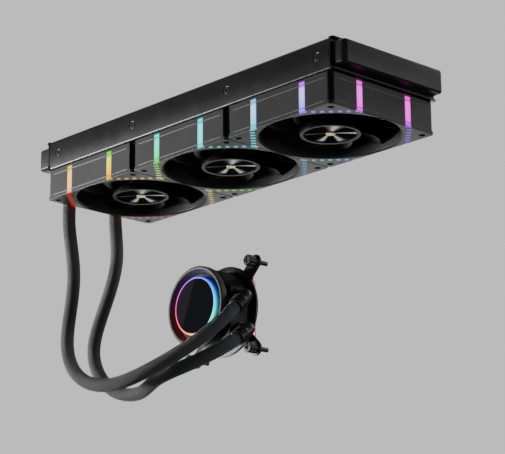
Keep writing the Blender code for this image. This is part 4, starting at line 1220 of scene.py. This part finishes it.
for node, mat in (("pump_display_module", HOUSING), ("pump_stator", WINDING), ("pump_impeller", BLADE), ("pump_seal", RUBBER)):
    dress(node, mat)
cold = joined(rims(prism(rounded(-29, 29, -29, 29, 5, 8), 1.3, 5.0), 0.5, 2, 55), rims(prism(rounded(-22, 22, -22, 22, 3, 6), 0.0, 1.28), 0.2, 1, 55))
pump_piece("contact_plate", cold, COPPER, stands_for="pump_cold_plate", slot="copper")


def bracket_mesh():
    arms, ear_r, ring_r, ear = [], 6.5, 41.0, 39.0
    for q in range(4):
        mid = math.radians(45 + 90 * q)
        c = Vector((ear * math.sqrt(2) * math.cos(mid), ear * math.sqrt(2) * math.sin(mid)))
        spread = math.asin(ear_r / ring_r)
        arms.append((ring_r * math.cos(mid - spread), ring_r * math.sin(mid - spread)))
        for k in range(13):
            t = mid - math.pi / 2 + math.pi * k / 12
            arms.append((c.x + ear_r * math.cos(t), c.y + ear_r * math.sin(t)))
        arms.append((ring_r * math.cos(mid + spread), ring_r * math.sin(mid + spread)))
        for k in range(1, 14):
            t = mid + spread + (math.pi / 2 - 2 * spread) * k / 14
            arms.append((ring_r * math.cos(t), ring_r * math.sin(t)))
    bm = prism(arms, 9.3, 11.8)
    bm = rims(bm, 0.4, 2, 60, keep=lambda e: abs(e.verts[0].co.z - e.verts[1].co.z) < 0.01)
    bm = combine(bm, lathe([(0, 8), (35.6, 8), (35.6, 13), (0, 13)], 96), "DIFFERENCE")
    holes = [turned(lathe([(0, 8), (2.7, 8), (2.7, 13), (0, 13)], 28), Matrix.Translation((a * ear, b * ear, 0))) for a in (-1, 1) for b in (-1, 1)]
    return combine(bm, joined(*holes), "DIFFERENCE")


pump_piece("mount_frame", bracket_mesh(), BLACK_STEEL, stands_for="pump_bracket", slot="black_steel")


def thumb_screw():
    """Knurled thumb nut with a cross recess."""
    bm = bmesh.new()
    n = 96
    rings = []
    for r, z, knurl in ((0, -3.0, 0), (1.8, -3.0, 0), (2.2, -2.5, 0), (2.2, 12.1, 0), (4.7, 12.1, 0), (5.0, 12.5, 0), (5.0, 13.2, 0), (4.95, 13.5, 1), (4.95, 19.6, 1),
                        (5.0, 19.9, 0), (5.0, 20.5, 0), (4.4, 21.3, 0), (3.0, 21.4, 0), (0, 21.4, 0)):
        if r == 0:
            rings.append([bm.verts.new((0, 0, z))])
            continue
        rings.append([bm.verts.new(((r - knurl * 0.3 * (k % 4 in (0, 1))) * math.cos(2 * math.pi * k / n),
                                    (r - knurl * 0.3 * (k % 4 in (0, 1))) * math.sin(2 * math.pi * k / n), z)) for k in range(n)])
    for a, b in zip(rings, rings[1:]):
        for k in range(n):
            j = (k + 1) % n
            if len(a) == 1:
                bm.faces.new((a[0], b[j], b[k]))
            elif len(b) == 1:
                bm.faces.new((a[k], a[j], b[0]))
            else:
                bm.faces.new((a[k], a[j], b[j], b[k]))
    w, l = 0.7, 3.2
    plus = [(-w, -l), (w, -l), (w, -w), (l, -w), (l, w), (w, w), (w, l), (-w, l), (-w, w), (-l, w), (-l, -w), (-w, -w)]
    return to_mesh(combine(bm, prism(plus, 19.6, 23), "DIFFERENCE"), "thumb", 30)


thumb = thumb_screw()
for k, (sx, sy) in enumerate(((-1, -1), (1, -1), (1, 1), (-1, 1)), start=1):
    piece(f"thumb_nut_{k}", thumb, BLACK_STEEL, BODY, (PUMP[0] + sx * 39.0, PUMP[1], PUMP[2] + sy * 39.0), PUMP_TURN,
          stands_for=f"bracket_screw_{k}", slot="black_steel")

# ------------------------------------------------------------------ studio
stage = Mat("stage_pale", (0.80, 0.80, 0.79), 0.0, 0.9).m
bpy.ops.mesh.primitive_circle_add(vertices=96, radius=9, fill_type="NGON", location=(0, 0, -2.6))
floor = bpy.context.object
floor.name = "floor"
floor.data.materials.append(stage)

world = bpy.data.worlds.new("studio")
scene.world = world
world.use_nodes = True
wt = world.node_tree
bg = wt.nodes["Background"]
path = wt.nodes.new("ShaderNodeLightPath")
other = wt.nodes.new("ShaderNodeBackground")
mix = wt.nodes.new("ShaderNodeMixShader")
bg.inputs[0].default_value = (0.62, 0.64, 0.68, 1)
bg.inputs[1].default_value = 0.11
other.inputs[0].default_value = (0.80, 0.80, 0.80, 1)
other.inputs[1].default_value = 0.95
wt.links.new(path.outputs["Is Camera Ray"], mix.inputs[0])
wt.links.new(bg.outputs[0], mix.inputs[1])
wt.links.new(other.outputs[0], mix.inputs[2])
wt.links.new(mix.outputs[0], wt.nodes["World Output"].inputs[0])


def area(name, at, aim, size, power, colour=(1, 1, 1), size_y=None, lean=0.0):
    li = bpy.data.lights.new(name, "AREA")
    li.energy, li.color, li.size = power, colour, size
    if size_y:
        li.shape, li.size_y = "RECTANGLE", size_y
    ob = bpy.data.objects.new(name, li)
    ob.location = at
    ob.rotation_mode = "QUATERNION"
    ob.rotation_quaternion = (Vector(aim) - Vector(at)).to_track_quat("-Z", "Y") @ Quaternion((0, 0, 1), lean)
    scene.collection.objects.link(ob)
    return ob


key = area("key", (-1.25, -0.85, -0.22), (-0.38, -0.05, -0.05), 0.6, 3.3, (1, 0.99, 0.97), 0.40)
key.data.spread = math.radians(36)
area("fill", (1.6, -1.9, -0.1), (0, 0, -0.04), 1.2, 3.2)
area("under", (-1.05, 0.95, -0.62), (0, 0, -0.055), 0.9, 4.4, (1, 1, 1), 0.5)
area("side_card", (1.35, 1.0, 0.0), (0.19, 0, -0.04), 0.7, 8.0)
area("rim", (0.4, 2.0, 1.2), (0, 0, -0.05), 1.0, 14)
area("top", (-0.6, -0.4, 1.5), (0, 0, 0), 1.2, 10)
area("glass_card", (-1.025, -0.667, 0.152), (-0.0778, 0.027, -0.157), 0.20, 0.05, (1, 1, 1), 0.5, math.radians(-13))
